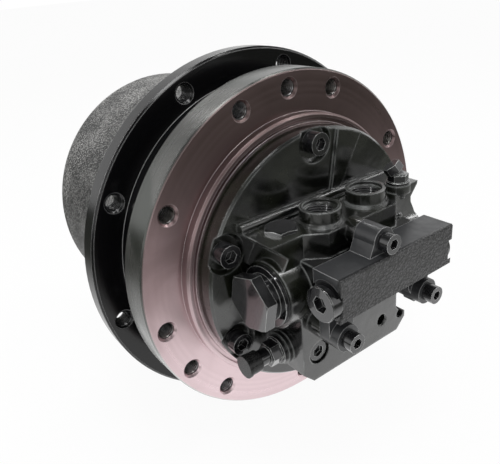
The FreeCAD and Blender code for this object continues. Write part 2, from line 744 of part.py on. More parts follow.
# --- Valve block with its relief valves --------------------------------------------------------------------
def make_valve_block():
    back = block_seat - gasket_t
    depth = back - block_front
    bar = box(-block_half, block_half, block_front, back, block_bottom, block_top)
    long_edges = [e for e in bar.Edges if abs(e.Vertexes[0].X - e.Vertexes[1].X) > 1 and e.Vertexes[0].Y < back - 1]
    bar = bar.makeChamfer(0.8, long_edges)
    r = tower_r
    tower = [(tower_x - tower_foot, block_top - 2), (tower_x + tower_foot, block_top - 2),
             (tower_x + r, tower_z), (tower_x - r, tower_z)]
    parts = [slab(tower, block_front + tower_step, depth - tower_step)]
    parts.append(rod("y", Vector(tower_x, 0, tower_z), r, block_front + tower_step, depth - tower_step))
    for side in (-1, 1):
        ear = [(side * 27, block_bottom + 2), (side * 50, block_bottom + 2), (side * (ear_x + ear_r), ear_z),
               (side * (ear_x + 3), ear_z - ear_r), (side * (ear_x - 5), ear_z - ear_r), (side * 28, ear_z + 4)]
        parts.append(slab(ear, back - ear_t, ear_t))
        parts.append(rod("y", Vector(side * ear_x, 0, ear_z), ear_r, back - ear_boss, ear_boss))
    bar = bar.fuse(parts)
    cuts = [rod("y", Vector(tower_x, 0, tower_z), block_screw_r + screw_play, block_front - 1, depth + 2)]
    cuts.append(rod("y", Vector(tower_x, 0, tower_z), block_screw_head_r + 0.6, block_front - 1, tower_step + 1))
    for side in (-1, 1):
        cuts.append(rod("y", Vector(side * ear_x, 0, ear_z), block_screw_r + screw_play, block_front - 1, depth + 2))
        inner = block_half - relief_bore_len if side > 0 else -block_half - 1
        axis = Vector(0, block_front + relief_y, relief_z)
        cuts.append(rod("x", axis, relief_bore_r, inner, relief_bore_len + 1))
        inner = block_half - plug_thread_len if side > 0 else -block_half - 1
        cuts.append(rod("x", axis, plug_thread_r, inner, plug_thread_len + 1))
        spot = plug_spot[side > 0]
        inner = block_half - spot if side > 0 else -block_half - 1
        cuts.append(rod("x", axis, plug_seat_r, inner, spot + 1))
    cuts.append(rod("y", Vector(0, 0, relief_z), relief_passage_r, block_front + relief_y, depth))
    reach = poppet_seat + relief_bore_r
    cuts.append(rod("x", Vector(0, block_front + relief_y, relief_z), relief_cross_r, -reach, 2 * reach))
    return [bar.cut(cuts)]


def make_block_screws():
    seats = [Vector(tower_x, block_front + tower_step, tower_z)]
    seats += [Vector(side * ear_x, block_seat - gasket_t - ear_boss, ear_z) for side in (-1, 1)]
    lengths = (block_depth - tower_step + screw_grip - 2, ear_boss + screw_grip, ear_boss + screw_grip)
    return [cap_screw(p, block_screw_r, block_screw_head_r, block_screw_head, n) for p, n in zip(seats, lengths)]


def make_relief_plug(side):
    """Plug at one end of the relief bore; side is -1 on the left and 1 on the right."""
    y = block_front + relief_y
    face = block_half - plug_spot[side > 0]
    stem = block_half - plug_thread_len + 0.5
    head = plug_head_right if side > 0 else plug_head_left
    profile = [(0, stem), (plug_thread_r, stem), (plug_thread_r, face), (plug_r, face),
               (plug_r, face + head - fine_edge), (plug_r - fine_edge, face + head), (0, face + head)]
    plug = turned_x([(r, side * x) for r, x in profile], y, relief_z)
    start = face + head - plug_socket if side > 0 else -face - head
    return plug.cut(hexagon("x", Vector(0, y, relief_z), plug_socket_af, start, plug_socket))


def make_shelf_plug():
    """Low hexagon plug that closes the cross drilling under the port shelf."""
    p = Vector(shelf_plug_x, cover_face - shelf_plug_depth_y, 0)
    top = body_top + shelf_plug_h
    head = hexagon("z", p, shelf_plug_af, body_top, shelf_plug_h, shelf_plug_turn)
    corner = shelf_plug_af / math.sqrt(3) + 1
    flat = shelf_plug_af / 2 - 0.5
    fall = (corner - flat) * 0.5
    crown = cone("z", p, corner, flat, top - fall, fall)
    crown = crown.fuse(rod("z", p, corner, body_top - 1, shelf_plug_h - fall + 1))
    return head.common(crown).fuse(rod("z", p, shelf_plug_r, body_top - shelf_plug_len, shelf_plug_len))


def make_gauge_plug():
    """Socket plug at the bottom of the gauge port."""
    p = Vector(gauge_x, 0, gauge_z)
    bottom = cover_face - foot_depth + gauge_depth
    top = bottom - gauge_plug_t
    plug = rod("y", p, gauge_r - 1.5, top, gauge_plug_t).fuse(rod("y", p, gauge_thread_r, bottom, gauge_plug_len))
    return plug.cut(hexagon("y", p, gauge_plug_af, top, gauge_plug_t - fine_edge, 25))


def make_relief_poppet(side):
    y = block_front + relief_y
    r = relief_bore_r - running
    seat = poppet_seat + gap
    back = seat + poppet_len
    profile = [(0, seat - 1.5), (poppet_tip_r, seat - 1.5), (r, seat + 3), (r, back), (0, back)]
    return turned_x([(q, side * x) for q, x in profile], y, relief_z)


def make_relief_spring(side):
    y = block_front + relief_y
    near = poppet_seat + gap + poppet_len
    far = block_half - plug_thread_len + 0.5
    start, end = (near, far) if side > 0 else (-far, -near)
    return coil_spring("x", Vector(0, y, relief_z), relief_spring_r, relief_wire, start, end, 4)


# --- Counterbalance spool --------------------------------------------------------------------------------------
def make_spool_cap():
    """Hexagon cap on the left end of the spool bore."""
    y = cover_face - spool_y
    seat = -body_side - cap_flange_t
    neck = seat - cap_neck_len
    end = neck - cap_hex_len
    inner = -body_side + cap_thread_len - 1
    stem = turned_x([(0, inner), (cap_thread_r, inner), (cap_thread_r, -body_side), (cap_flange_r, -body_side),
                     (cap_flange_r, seat), (cap_neck_r, seat), (cap_neck_r, neck), (0, neck)], y, spool_z)
    nut = hexagon("x", Vector(0, y, spool_z), cap_af, end, cap_hex_len, 180 - cap_turn)
    corner = cap_af / math.sqrt(3)
    crown = turned_x([(0, -body_side), (corner + 1, -body_side), (corner + 1, end + cap_crown),
                      (corner - 1.2, end), (0, end)], y, spool_z)
    cap = stem.fuse(nut.common(crown))
    return cap.cut(rod("x", Vector(0, y, spool_z), cap_cup_r, -spool_half - spring_room, spring_room + 10))


def make_spool_end_plug():
    """Flush socket plug in the right end of the spool bore."""
    y = cover_face - spool_y
    inner = body_side - cap_thread_len + 1
    plug = rod("x", Vector(0, y, spool_z), cap_thread_r, inner, cap_thread_len - 1)
    plug = plug.cut(rod("x", Vector(0, y, spool_z), cap_cup_r, inner, spool_half + spring_room - inner))
    return plug.cut(hexagon("x", Vector(0, y, spool_z), end_plug_af, body_side - end_plug_socket, end_plug_socket + 1))


def make_spool():
    r = spool_r - running
    near, far = spool_port
    half = [land / 2, near, far, spool_half - land, spool_half]
    edges = [-x for x in reversed(half)] + half
    profile = [(0, edges[0])]
    for k in range(0, len(edges), 2):
        profile += [(r, edges[k]), (r, edges[k + 1])]
        if k + 2 < len(edges):
            profile += [(spool_neck_r, edges[k + 1]), (spool_neck_r, edges[k + 2])]
    profile.append((0, edges[-1]))
    return [turned_x(profile, cover_face - spool_y, spool_z)]


def make_spool_spring(side):
    far = spool_half + spring_room
    start, end = (spool_half, far) if side > 0 else (-far, -spool_half)
    return coil_spring("x", Vector(0, cover_face - spool_y, spool_z), spool_spring_r, spool_wire, start, end, 3.5)


# --- Small fittings ------------------------------------------------------------------------------------------------
def make_drain_fitting():
    """Bent drain adapter with its blind nut, turned to the rear left."""
    p = Vector(drain_x, cover_face - drain_y, 0)
    seat = drain_seat + fillet_h
    hexagon_start = seat + drain_collar_t
    top = hexagon_start + drain_hex_len
    solid = rod("z", p, drain_thread_r, seat - drain_len + 1, drain_len - 1)
    solid = solid.fuse(rod("z", p, drain_collar_r, seat, drain_collar_t))
    solid = solid.fuse(hexagon("z", p, drain_af, hexagon_start, drain_hex_len, 20))
    solid = solid.fuse(rod("z", p, drain_stem_r, top, 1.0))
    bend = Vector(p.x, p.y, top - 1)
    arm = rod("z", p, drain_arm_r, bend.z, drain_nut_len)
    arm = arm.fuse(hexagon("z", p, drain_nut_af, bend.z + 3.5, drain_nut_len, 10))
    arm.rotate(bend, Vector(1, 1, 0), -drain_lean)
    return [solid.fuse(arm)]


def make_speed_fitting():
    """Hexagon adapter of the speed change line, closed by its own cap."""
    p = Vector(0, cover_face - speed_y, speed_z)
    face = -foot_left - speed_boss
    hexagon_start = face - fitting_collar_t - fitting_hex_len
    nipple_end = face - fitting_reach + fitting_rim + fitting_sleeve - 3.2
    solid = rod("x", p, fitting_thread_r, face, fitting_thread_len - 1)
    solid = solid.fuse(rod("x", p, fitting_collar_r, face - fitting_collar_t, fitting_collar_t))
    solid = solid.fuse(hexagon("x", p, fitting_hex_af, hexagon_start, fitting_hex_len))
    solid = solid.fuse(rod("x", p, fitting_nipple_r, nipple_end, hexagon_start - nipple_end))
    return [solid]


def make_speed_cap():
    p = Vector(0, cover_face - speed_y, speed_z)
    end = -foot_left - speed_boss - fitting_reach
    sleeve = rod("x", p, fitting_sleeve_r, end + fitting_rim, fitting_sleeve)
    shell = rod("x", p, fitting_cap_r, end, fitting_rim).fuse(sleeve)
    return [shell.cut(rod("x", p, fitting_nipple_r, end + fitting_rim + fitting_sleeve - 3.2, 20))]


def make_speed_spool():
    p = Vector(0, cover_face - speed_y, speed_z)
    lands = [(speed_r - running if on_land else speed_neck_r, x) for x, on_land in speed_spool]
    return [turned_x([(0, speed_spool[0][0])] + lands + [(0, speed_spool[-1][0])], p.y, p.z)]


def make_speed_spring():
    p = Vector(0, cover_face - speed_y, speed_z)
    return [coil_spring("x", p, relief_spring_r, speed_wire, speed_spool[-1][0], speed_bore_right, 5)]


# --- Floating seal, bearings and nut ---------------------------------------------------------------------------------
def make_seal(side):
    """Metal ring and rubber ring of one half of the floating seal; side 1 is the hub's half."""
    middle = flange_t + seal_gap / 2
    near = middle + side * gap / 2
    far = near + side * seal_ring_t
    inner = neck_r + 2
    metal = turned([(inner, near), (seal_ring_out, near), (seal_ring_out - 2, far), (inner, far)])
    pocket = flange_t - seal_depth if side < 0 else hub_front + seal_depth
    rubber = turned([(seal_ring_out - 0.2, near + side * 3), (seal_pocket_r, near + side * 3),
                     (seal_pocket_r, pocket), (seal_ring_out - 1.0, pocket)])
    return metal, rubber


def bearing_rings(start, flip):
    """Inner ring and outer ring of a tapered roller bearing."""
    mid = start + bearing_w / 2
    slope = math.tan(math.radians(roller_tilt)) * flip
    clear = roller_r / math.cos(math.radians(roller_tilt)) + gap
    def race(y, side):
        return roller_centre + slope * (y - mid) + side * clear
    inner = [(seat_r, start), (race(start, -1), start), (race(start + bearing_w, -1), start + bearing_w),
             (seat_r, start + bearing_w)]
    outer = [(bearing_out_r, start), (race(start, 1), start), (race(start + bearing_w, 1), start + bearing_w),
             (bearing_out_r, start + bearing_w)]
    return turned(inner), turned(outer)


def make_rollers(start, flip):
    mid = start + bearing_w / 2
    rollers = []
    tilt = math.radians(roller_tilt) * flip
    for k in range(roller_count):
        a = math.radians(360.0 * k / roller_count)
        along = Vector(math.sin(tilt) * math.cos(a), math.cos(tilt), math.sin(tilt) * math.sin(a))
        centre = Vector(roller_centre * math.cos(a), mid, roller_centre * math.sin(a))
        rollers.append(Part.makeCylinder(roller_r, roller_len, centre - along * (roller_len / 2), along))
    return rollers


def make_nut():
    start = bearing_two + bearing_w
    nut = tube("y", Vector(), nut_out_r, thread_r, start, nose_start - start - 2)
    half = nut_slot / 2
    slots = [box(nut_out_r - nut_slot_depth, nut_out_r + 2, start + 5, nose_start, -half, half) for _ in range(4)]
    for k, slot in enumerate(slots):
        slot.rotate(Vector(), Vector(0, 1, 0), 90 * k)
    return [nut.cut(slots)]


# --- Hub ---------------------------------------------------------------------------------------------------------
def make_hub():
    rear = sprocket_front + sprocket_t
    pocket = hub_front + seal_depth
    profile = [
        (seal_pocket_r, hub_front), (guard_r - edge, hub_front), (guard_r, hub_front + edge),
        (guard_r, sprocket_front), (sprocket_r - edge, sprocket_front), (sprocket_r, sprocket_front + edge),
        (sprocket_r, rear - edge), (sprocket_r - edge, rear), (drum_root_r + drum_fillet, rear),
        (drum_root_r + 1.5, rear + 1.5), (drum_root_r, rear + drum_fillet), (drum_r, drum_end - drum_round),
    ]
    for k in range(1, 4):
        a = math.radians(30 * k)
        profile.append((drum_r - drum_round * (1 - math.cos(a)), drum_end - drum_round * (1 - math.sin(a))))
    lip = hub_cover_back + hub_cover_t
    profile += [
        (drum_bore_r, drum_end), (drum_bore_r, lip + circlip_t), (drum_bore_r + circlip_depth, lip + circlip_t),
        (drum_bore_r + circlip_depth, lip),
        (drum_bore_r, lip), (drum_bore_r, bore_start), (bearing_out_r, bore_start), (bearing_out_r, bearing_two),
        (bearing_out_r - ring_shoulder, bearing_two), (bearing_out_r - ring_shoulder, bearing_one + bearing_w),
        (bearing_out_r, bearing_one + bearing_w), (bearing_out_r, pocket + 3), (neck_r + 4, pocket + 3),
        (neck_r + 4, pocket), (seal_pocket_r, pocket),
    ]
    body = turned(profile)
    step = 360.0 / sprocket_holes
    cuts = []
    for k in range(sprocket_holes):
        a = sprocket_phase + step * k
        cuts.append(countersunk(a, sprocket_bolt_r, sprocket_front, sprocket_tap_r, frame_csk_r, sprocket_t, 1))
    return [body.cut(cuts)]


def make_ring_gear():
    pitch_r = module * ring_teeth / 2
    length = ring_end - ring_start
    blank = rod("y", Vector(), drum_bore_r, ring_start, length)
    first = planet_phase
    space = gear(ring_teeth, ring_start - 1, length + 2, Vector(), first, pitch_r + 1.25 * module,
                 pitch_r - module, -backlash / 2)
    return [blank.cut(space)]


def make_hub_cover():
    r = drum_bore_r - hub_cover_play
    back = hub_cover_back
    front = back + hub_cover_t
    dish = front - hub_cover_dish
    cover = turned([(0, back), (r, back), (r, front - edge), (r - edge, front), (hub_cover_dish_r + 4, front),
                    (hub_cover_dish_r, dish), (0, dish)])
    cuts = [rod("y", place(a, fill_circle_r, 0), fill_r, back - 1, hub_cover_t + 2) for a in fill_angles]
    cuts.append(tube("y", Vector(), r + 1, drum_bore_r - hub_ring_w, back + hub_ring_t, hub_ring_t))
    return [cover.cut(cuts)]


def make_hub_cover_seal():
    start = hub_cover_back + hub_ring_t
    return [tube("y", Vector(), drum_bore_r, drum_bore_r - hub_ring_w, start, hub_ring_t)]


def make_cover_circlip():
    front = hub_cover_back + hub_cover_t
    ring = tube("y", Vector(), drum_bore_r + circlip_depth, drum_bore_r + circlip_depth - circlip_w, front, circlip_t)
    half = circlip_gap / 2
    gap_top = -drum_bore_r + 4 * circlip_w
    return [ring.cut(box(-half, half, front - 1, front + circlip_t + 1, -drum_bore_r - circlip_w, gap_top))]


def make_oil_plugs():
    plugs = []
    front = hub_cover_back + hub_cover_t
    for a in fill_angles:
        p = place(a, fill_circle_r, 0)
        plug = rod("y", p, fill_r, front - hub_cover_t + 1, hub_cover_t - 1)
        plug = plug.fuse(rod("y", p, fill_head_r, front, fill_head))
        plugs.append(plug.cut(hexagon("y", p, fill_af, front - fill_socket, fill_socket + fill_head)))
    return plugs


# --- Planetary stages --------------------------------------------------------------------------------------------
def planet_radius(sun, planet):
    return module * (sun + planet) / 2


def make_planet(angle, sun, planet, start, face, pin_r, needle_r):
    centre = place(angle, planet_radius(sun, planet), 0)
    bore = pin_r + 2 * needle_r + gap + running
    blank = outer_gear(planet, start, face, centre, angle)
    return [blank.cut(rod("y", centre, bore, start - 1, face + 2))]


def make_needles(sun, planet, start, face, pin_r, needle_r):
    rollers = []
    for angle in planet_angles:
        centre = place(angle, planet_radius(sun, planet), 0)
        for k in range(needles):
            offset = place(360.0 * k / needles, pin_r + needle_r + running, 0)
            rollers.append(rod("y", centre + offset, needle_r, start + 1, face - 2))
    return rollers


def make_pins(sun, planet, start, end, pin_r):
    """Planet pins, each with a head that keeps its planet on."""
    pins = []
    for angle in planet_angles:
        centre = place(angle, planet_radius(sun, planet), 0)
        pin = rod("y", centre, pin_r, start, end + gap - start)
        pins.append(pin.fuse(rod("y", centre, pin_r + 4.0, end + gap, pin_head_t)))
    return pins


def make_washers(sun, planet, planet_start, pin_r, needle_r):
    """Thrust washers between the planets and their carrier."""
    rings = []
    for angle in planet_angles:
        centre = place(angle, planet_radius(sun, planet), 0)
        rings.append(tube("y", centre, pin_r + 2 * needle_r + 3, pin_r, planet_start - gap - washer_t, washer_t))
    return rings


def make_carrier_2():
    start = nose_start + 0.5
    end = planet_2_start - gap - washer_t
    disc = tube("y", Vector(), carrier_2_r, nose_r, start, end - start)
    cap = tube("y", Vector(), nose_r + 1, carrier_bore_r, nose_end, end - nose_end)
    body = disc.fuse(cap)
    cuts = [rod("y", place(a, planet_radius(sun_2_teeth, planet_2_teeth), 0), pin_2_r, start + pin_seat, 40)
            for a in planet_angles]
    return [body.cut(cuts)]


def make_carrier_1():
    disc = tube("y", Vector(), carrier_1_r, sun_hub_r, carrier_1_start, carrier_1_t)
    cuts = [rod("y", place(a, planet_radius(sun_1_teeth, planet_1_teeth), 0), pin_1_r, carrier_1_start + 2, 40)
            for a in planet_angles]
    for a in planet_angles:
        window = place(a + 180.0 / planets, carrier_window_circle, 0)
        cuts.append(rod("y", window, carrier_window_r, carrier_1_start - 1, carrier_1_t + 2))
    return [disc.cut(cuts)]


def make_sun_2():
    start = planet_2_start - 0.5
    body = outer_gear(sun_2_teeth, start, carrier_1_start - start, Vector(), planet_phase)
    body = body.fuse(rod("y", Vector(), sun_hub_r, carrier_1_start, carrier_1_t))
    return [body.cut(rod("y", Vector(), sun_shaft_r + sun_play, start - 1, 60))]


def make_sun_1():
    end = planet_1_start + face_1
    half_tooth = 180.0 / sun_1_teeth
    body = outer_gear(sun_1_teeth, planet_1_start, face_1, Vector(), planet_phase + half_tooth)
    body = body.fuse(rod("y", Vector(), sun_shaft_r, nose_end - sun_engaged,
                         planet_1_start - nose_end + sun_engaged))
    return [body.fuse(rod("y", Vector(), sun_tail_r, end, hub_cover_back - thrust_pad_t - end - gap))]


def make_thrust_pad():
    return [rod("y", Vector(), thrust_pad_r, hub_cover_back - thrust_pad_t, thrust_pad_t)]


# --- Piston motor -------------------------------------------------------------------------------------------------
def make_shaft():
    back = cover_seat - shaft_back
    front = wall_start + shaft_bearing_w
    profile = [(0, back), (shaft_r - running, back), (shaft_r - running, barrel_start), (shaft_r + 1, barrel_start),
               (shaft_r + 1, wall_start - 4), (shaft_nose_r + 3, wall_start - 4), (shaft_nose_r + 3, wall_start),
               (shaft_bearing_in_r, wall_start), (shaft_bearing_in_r, front), (shaft_r, front), (shaft_r, nose_end - 3),
               (0, nose_end - 3)]
    shaft = turned(profile)
    return [shaft.cut(rod("y", Vector(), sun_shaft_r, nose_end - sun_engaged, 20))]


def make_rear_bearing():
    start = cover_seat - shaft_back
    return [tube("y", Vector(), needle_shell_r, shaft_r, start, shaft_back)]


def make_front_bearing():
    """Outer ring, ball set and inner ring of the shaft's ball bearing."""
    mid_r = (shaft_bearing_out_r + shaft_bearing_in_r) / 2
    mid_y = wall_start + shaft_bearing_w / 2
    lip = 3.0
    outer = tube("y", Vector(), shaft_bearing_out_r, mid_r + lip, wall_start, shaft_bearing_w)
    inner = tube("y", Vector(), mid_r - lip, shaft_bearing_in_r, wall_start, shaft_bearing_w)
    groove = Part.makeTorus(mid_r, shaft_ball_r + gap, Vector(0, mid_y, 0), Vector(0, 1, 0))
    balls = [Part.makeSphere(shaft_ball_r, place(360.0 * k / shaft_balls, mid_r, mid_y)) for k in range(shaft_balls)]
    return [outer.cut(groove)], balls, [inner.cut(groove)]


def make_shaft_seal():
    start = wall_start + shaft_bearing_w + seal_back
    ring = tube("y", Vector(), seal_r, shaft_r + 2.5, start, seal_w)
    return [ring.fuse(tube("y", Vector(), shaft_r + 3, shaft_r + gap, start + 3, seal_lip))]


def kidney(r_mid, half_width, start_angle, end_angle, y, length):
    """Curved slot between two angles, for the flow from the cover to the cylinder block."""
    outer = Part.makeCylinder(r_mid + half_width, length, Vector(0, y, 0), Vector(0, 1, 0), end_angle - start_angle)
    inner = rod("y", Vector(), r_mid - half_width, y - 1, length + 2)
    slot = outer.cut(inner)
    slot.rotate(Vector(), Vector(0, 1, 0), -start_angle)
    return slot


def make_valve_plate():
    ring = tube("y", Vector(), valve_plate_r, valve_plate_bore_r, cover_seat, valve_plate_t)
    slots = []
    for middle in (0, 180):
        low, high = middle - kidney_angle, middle + kidney_angle
        slots.append(kidney(piston_circle, kidney_half, low, high, cover_seat - 1, valve_plate_t + 2))
    return [ring.cut(slots)]


def piston_angles():
    return [360.0 * k / piston_count for k in range(piston_count)]


def make_cylinder_block():
    block = tube("y", Vector(), block_r, shaft_r + 1, barrel_start, barrel_len)
    cuts = []
    for a in piston_angles():
        cuts.append(rod("y", place(a, piston_circle, 0), piston_r + bore_play, barrel_start + bore_bottom, barrel_len))
        cuts.append(rod("y", place(a, piston_circle, 0), piston_drill_r, barrel_start - 1, 2 * bore_bottom))
    return [block.cut(cuts)]


def swash_point(angle, offset):
    """Point on the piston circle, offset in front of the swash plate's face."""
    p = place(angle, piston_circle, 0)
    tilt = math.radians(swash_angle)
    y = swash_face + p.z * math.tan(tilt) - offset / math.cos(tilt)
    return Vector(p.x, y, p.z)


def swash_normal():
    tilt = math.radians(swash_angle)
    return Vector(0, math.cos(tilt), -math.sin(tilt))


def make_pistons():
    pistons = []
    for a in piston_angles():
        p = swash_point(a, gap + shoe_t + ball_depth)
        body = rod("y", p, piston_r, p.y - piston_neck - piston_len, piston_len)
        body = body.fuse(rod("y", p, piston_neck_r, p.y - piston_neck - 1, piston_neck))
        pistons.append(body.fuse(Part.makeSphere(ball_joint_r, p)))
    return pistons


def make_shoes():
    shoes = []
    n = swash_normal()
    for a in piston_angles():
        base = swash_point(a, gap)
        joint = swash_point(a, gap + shoe_t + ball_depth)
        disc = Part.makeCylinder(shoe_r, shoe_t, base - n * shoe_t, n)
        cup = Part.makeCylinder(shoe_cup_r, shoe_cup, base - n * (shoe_t + shoe_cup), n)
        shoes.append(disc.fuse(cup).cut(Part.makeSphere(ball_joint_r + running, joint)))
    return shoes


def make_retainer():
    n = swash_normal()
    centre = Vector(0, swash_face, 0) - n * (gap + shoe_t + gap)
    plate = Part.makeCylinder(retainer_r, retainer_t, centre - n * retainer_t, n)
    cuts = [Part.makeCylinder(retainer_bore_r, 20, centre - n * 10, n)]
    for a in piston_angles():
        cuts.append(Part.makeCylinder(shoe_cup_r + retainer_play, 20, swash_point(a, 0) - n * 12, n))
    return [plate.cut(cuts)]


def make_retainer_bush():
    """Ball-ended bush on the shaft that the retainer plate tilts round."""
    end = barrel_start + barrel_len
    return [tube("y", Vector(), bush_r, shaft_r + 1, end, bush_len)]


def make_swash():
    n = swash_normal()
    blank = rod("y", Vector(), swash_r, 40, wall_start - gap - 40 - 1.5)
    front = Part.makeCylinder(90, 60, Vector(0, swash_face, 0) - n * 60, n)
    back = wall_start - gap - 1.5
    relief = math.tan(math.radians(swash_range + 0.5))
    points = [Vector(-60, back + 5, 0), Vector(-60, back + 5, -60), Vector(-60, back - 60 * relief, -60),
              Vector(-60, back, 0)]
    wedge = Part.Face(Part.makePolygon(points + points[:1])).extrude(Vector(120, 0, 0))
    body = blank.cut([front, wedge, rod("y", Vector(), swash_bore_r, 30, 60)])
    return [body.cut([pivot_pin(side, gap) for side in (-1, 1)])]


def pivot_pin(side, clearance):
    """Short pin on the swash plate's axis, or with a clearance the seat round it; side is -1 or 1."""
    half = pivot_half + clearance
    return rod("x", Vector(0, swash_pivot, 0), pivot_r + clearance, side * pivot_x - half, 2 * half)


def make_pivot_pins():
    return [pivot_pin(side, 0) for side in (-1, 1)]


def make_control_piston():
    """Piston with a domed end, so that it bears on the swash plate at every angle."""
    p = Vector(0, 0, control_z)
    tip = wall_start - 1.5
    dome = Part.makeSphere(control_tip_r, Vector(0, tip + control_tip_r, control_z))
    return [rod("y", p, control_r - running, tip, control_len).common(dome)]


# --- Parking brake ---------------------------------------------------------------------------------------------------
def brake_stack():
    """Start of each plate and disc, packed from the brake piston towards the swash plate."""
    y = brake_start
    plates, disc_starts = [], []
    for k in range(discs + 1):
        plates.append(y)
        y += plate_t + gap
        if k < discs:
            disc_starts.append(y)
            y += disc_t + gap
    return plates, disc_starts, y - gap


def make_brake_discs():
    return [tube("y", Vector(), disc_out_r, block_r, y, disc_t) for y in brake_stack()[1]]


def make_brake_plates():
    return [tube("y", Vector(), cavity_r, plate_in_r, y, plate_t) for y in brake_stack()[0]]


def make_brake_piston():
    start = brake_start - gap - brake_piston_t
    ring = tube("y", Vector(), cavity_r - running, plate_in_r, start, brake_piston_t)
    step = 360.0 / brake_springs
    holes = [rod("y", place(step * k, brake_spring_circle, 0), brake_spring_r + fine_edge, start - 1, brake_pocket + 1)
             for k in range(brake_springs)]
    return [ring.cut(holes)]


def make_brake_springs():
    start = brake_start - gap - brake_piston_t
    springs = []
    for k in range(brake_springs):
        p = place(360.0 * k / brake_springs, brake_spring_circle, 0)
        mean_r = brake_spring_r - fine_edge
        springs.append(coil_spring("y", p, mean_r, brake_wire, cover_seat, start + brake_pocket, 3, 6))
    return springs


# --- Every sub-part, by its file's name ------------------------------------------------------------------------------
def valve_nodes():
    nodes = {"rear_cover": make_rear_cover(), "rear_cover_screws": make_cover_screws()}
    nodes["valve_block"] = make_valve_block()
    nodes["valve_block_screws"] = make_block_screws()
    nodes["gallery_plugs"] = [make_relief_plug(-1), make_relief_plug(1), make_shelf_plug(), make_gauge_plug()]
    nodes["relief_poppet_left"] = [make_relief_poppet(-1)]
    nodes["relief_poppet_right"] = [make_relief_poppet(1)]
    nodes["relief_springs"] = [make_relief_spring(side) for side in (-1, 1)]
    nodes["spool_caps"] = [make_spool_cap(), make_spool_end_plug()]
    nodes["counterbalance_spool"] = make_spool()
    nodes["spool_springs"] = [make_spool_spring(side) for side in (-1, 1)]
    nodes["drain_fitting"] = make_drain_fitting()
    nodes["speed_line_fitting"] = make_speed_fitting()
    nodes["speed_line_cap"] = make_speed_cap()
    nodes["speed_spool"] = make_speed_spool()
    nodes["speed_spool_spring"] = make_speed_spring()
    return nodes


def hub_nodes():
    fixed = make_seal(-1)
    turning = make_seal(1)
    first = bearing_rings(bearing_one, -1)
    second = bearing_rings(bearing_two, 1)
    nodes = {"spindle_housing": [make_spindle()], "hub_housing": make_hub()}
    nodes["seal_ring_fixed"] = [fixed[0]]
    nodes["fixed_seals"] = [fixed[1]] + make_cover_ring() + make_block_gasket()
    nodes["seal_ring_turning"] = [turning[0]]
    nodes["hub_seals"] = [turning[1]] + make_hub_cover_seal()
    nodes["bearing_inner_rings"] = [first[0], second[0]]
    nodes["bearing_outer_rings"] = [first[1], second[1]]
    nodes["bearing_rollers"] = make_rollers(bearing_one, -1) + make_rollers(bearing_two, 1)
    nodes["bearing_nut"] = make_nut()
    nodes["hub_cover"] = make_hub_cover()
    nodes["hub_cover_circlip"] = make_cover_circlip()
    nodes["oil_plugs"] = make_oil_plugs()
    nodes["thrust_pad"] = make_thrust_pad()
    return nodes


def gear_nodes():
    nodes = {"ring_gear": make_ring_gear(), "carrier_fixed": make_carrier_2(), "carrier_turning": make_carrier_1()}
    output = (sun_2_teeth, planet_2_teeth, planet_2_start, face_2, pin_2_r, needle_2_r)
    entry = (sun_1_teeth, planet_1_teeth, planet_1_start, face_1, pin_1_r, needle_1_r)
    pin_starts = {"output": nose_start + 3.5, "input": carrier_1_start + 2}
    for stage, sizes in (("output", output), ("input", entry)):
        sun, planet, start, face, pin_r, needle_r = sizes
        for angle, letter in zip(planet_angles, "abc"):
            nodes["planet_%s_%s" % (stage, letter)] = make_planet(angle, sun, planet, start, face, pin_r, needle_r)
        pins = make_pins(sun, planet, pin_starts[stage], start + face, pin_r)
        pins += make_needles(sun, planet, start, face, pin_r, needle_r)
        nodes["planet_pins_" + stage] = pins + make_washers(sun, planet, start, pin_r, needle_r)
    nodes["sun_gear_output"] = make_sun_2()
    nodes["sun_gear_input"] = make_sun_1()
    return nodes


def motor_nodes():
    outer, balls, inner = make_front_bearing()
    nodes = {"motor_shaft": make_shaft(), "shaft_bearings_fixed": make_rear_bearing() + outer}
    nodes["shaft_bearing_balls"] = balls
    nodes["shaft_bearing_inner"] = inner
    nodes["shaft_seal"] = make_shaft_seal()
    nodes["valve_plate"] = make_valve_plate()
    nodes["cylinder_block"] = make_cylinder_block()
    nodes["pistons"] = make_pistons() + make_shoes()
    nodes["shoe_retainer"] = make_retainer()
    nodes["retainer_bush"] = make_retainer_bush()
    nodes["swash_plate"] = make_swash()
    nodes["swash_pivot_pins"] = make_pivot_pins()
    nodes["speed_piston"] = make_control_piston()
    nodes["brake_discs"] = make_brake_discs()
    nodes["brake_plates"] = make_brake_plates()
    nodes["brake_piston"] = make_brake_piston()
    nodes["brake_springs"] = make_brake_springs()
    return nodes


os.makedirs("parts", exist_ok=True)
for name, solids in {**valve_nodes(), **hub_nodes(), **gear_nodes(), **motor_nodes()}.items():
    shape = solids[0] if len(solids) == 1 else Part.makeCompound(solids)
    shape.exportStep("parts/%s.step" % name)
    print(name, len(shape.Solids), "solids", round(shape.Volume), "mm3", shape.isValid())
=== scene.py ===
import json
import math
import bpy
import numpy as np
from mathutils import Matrix, Vector


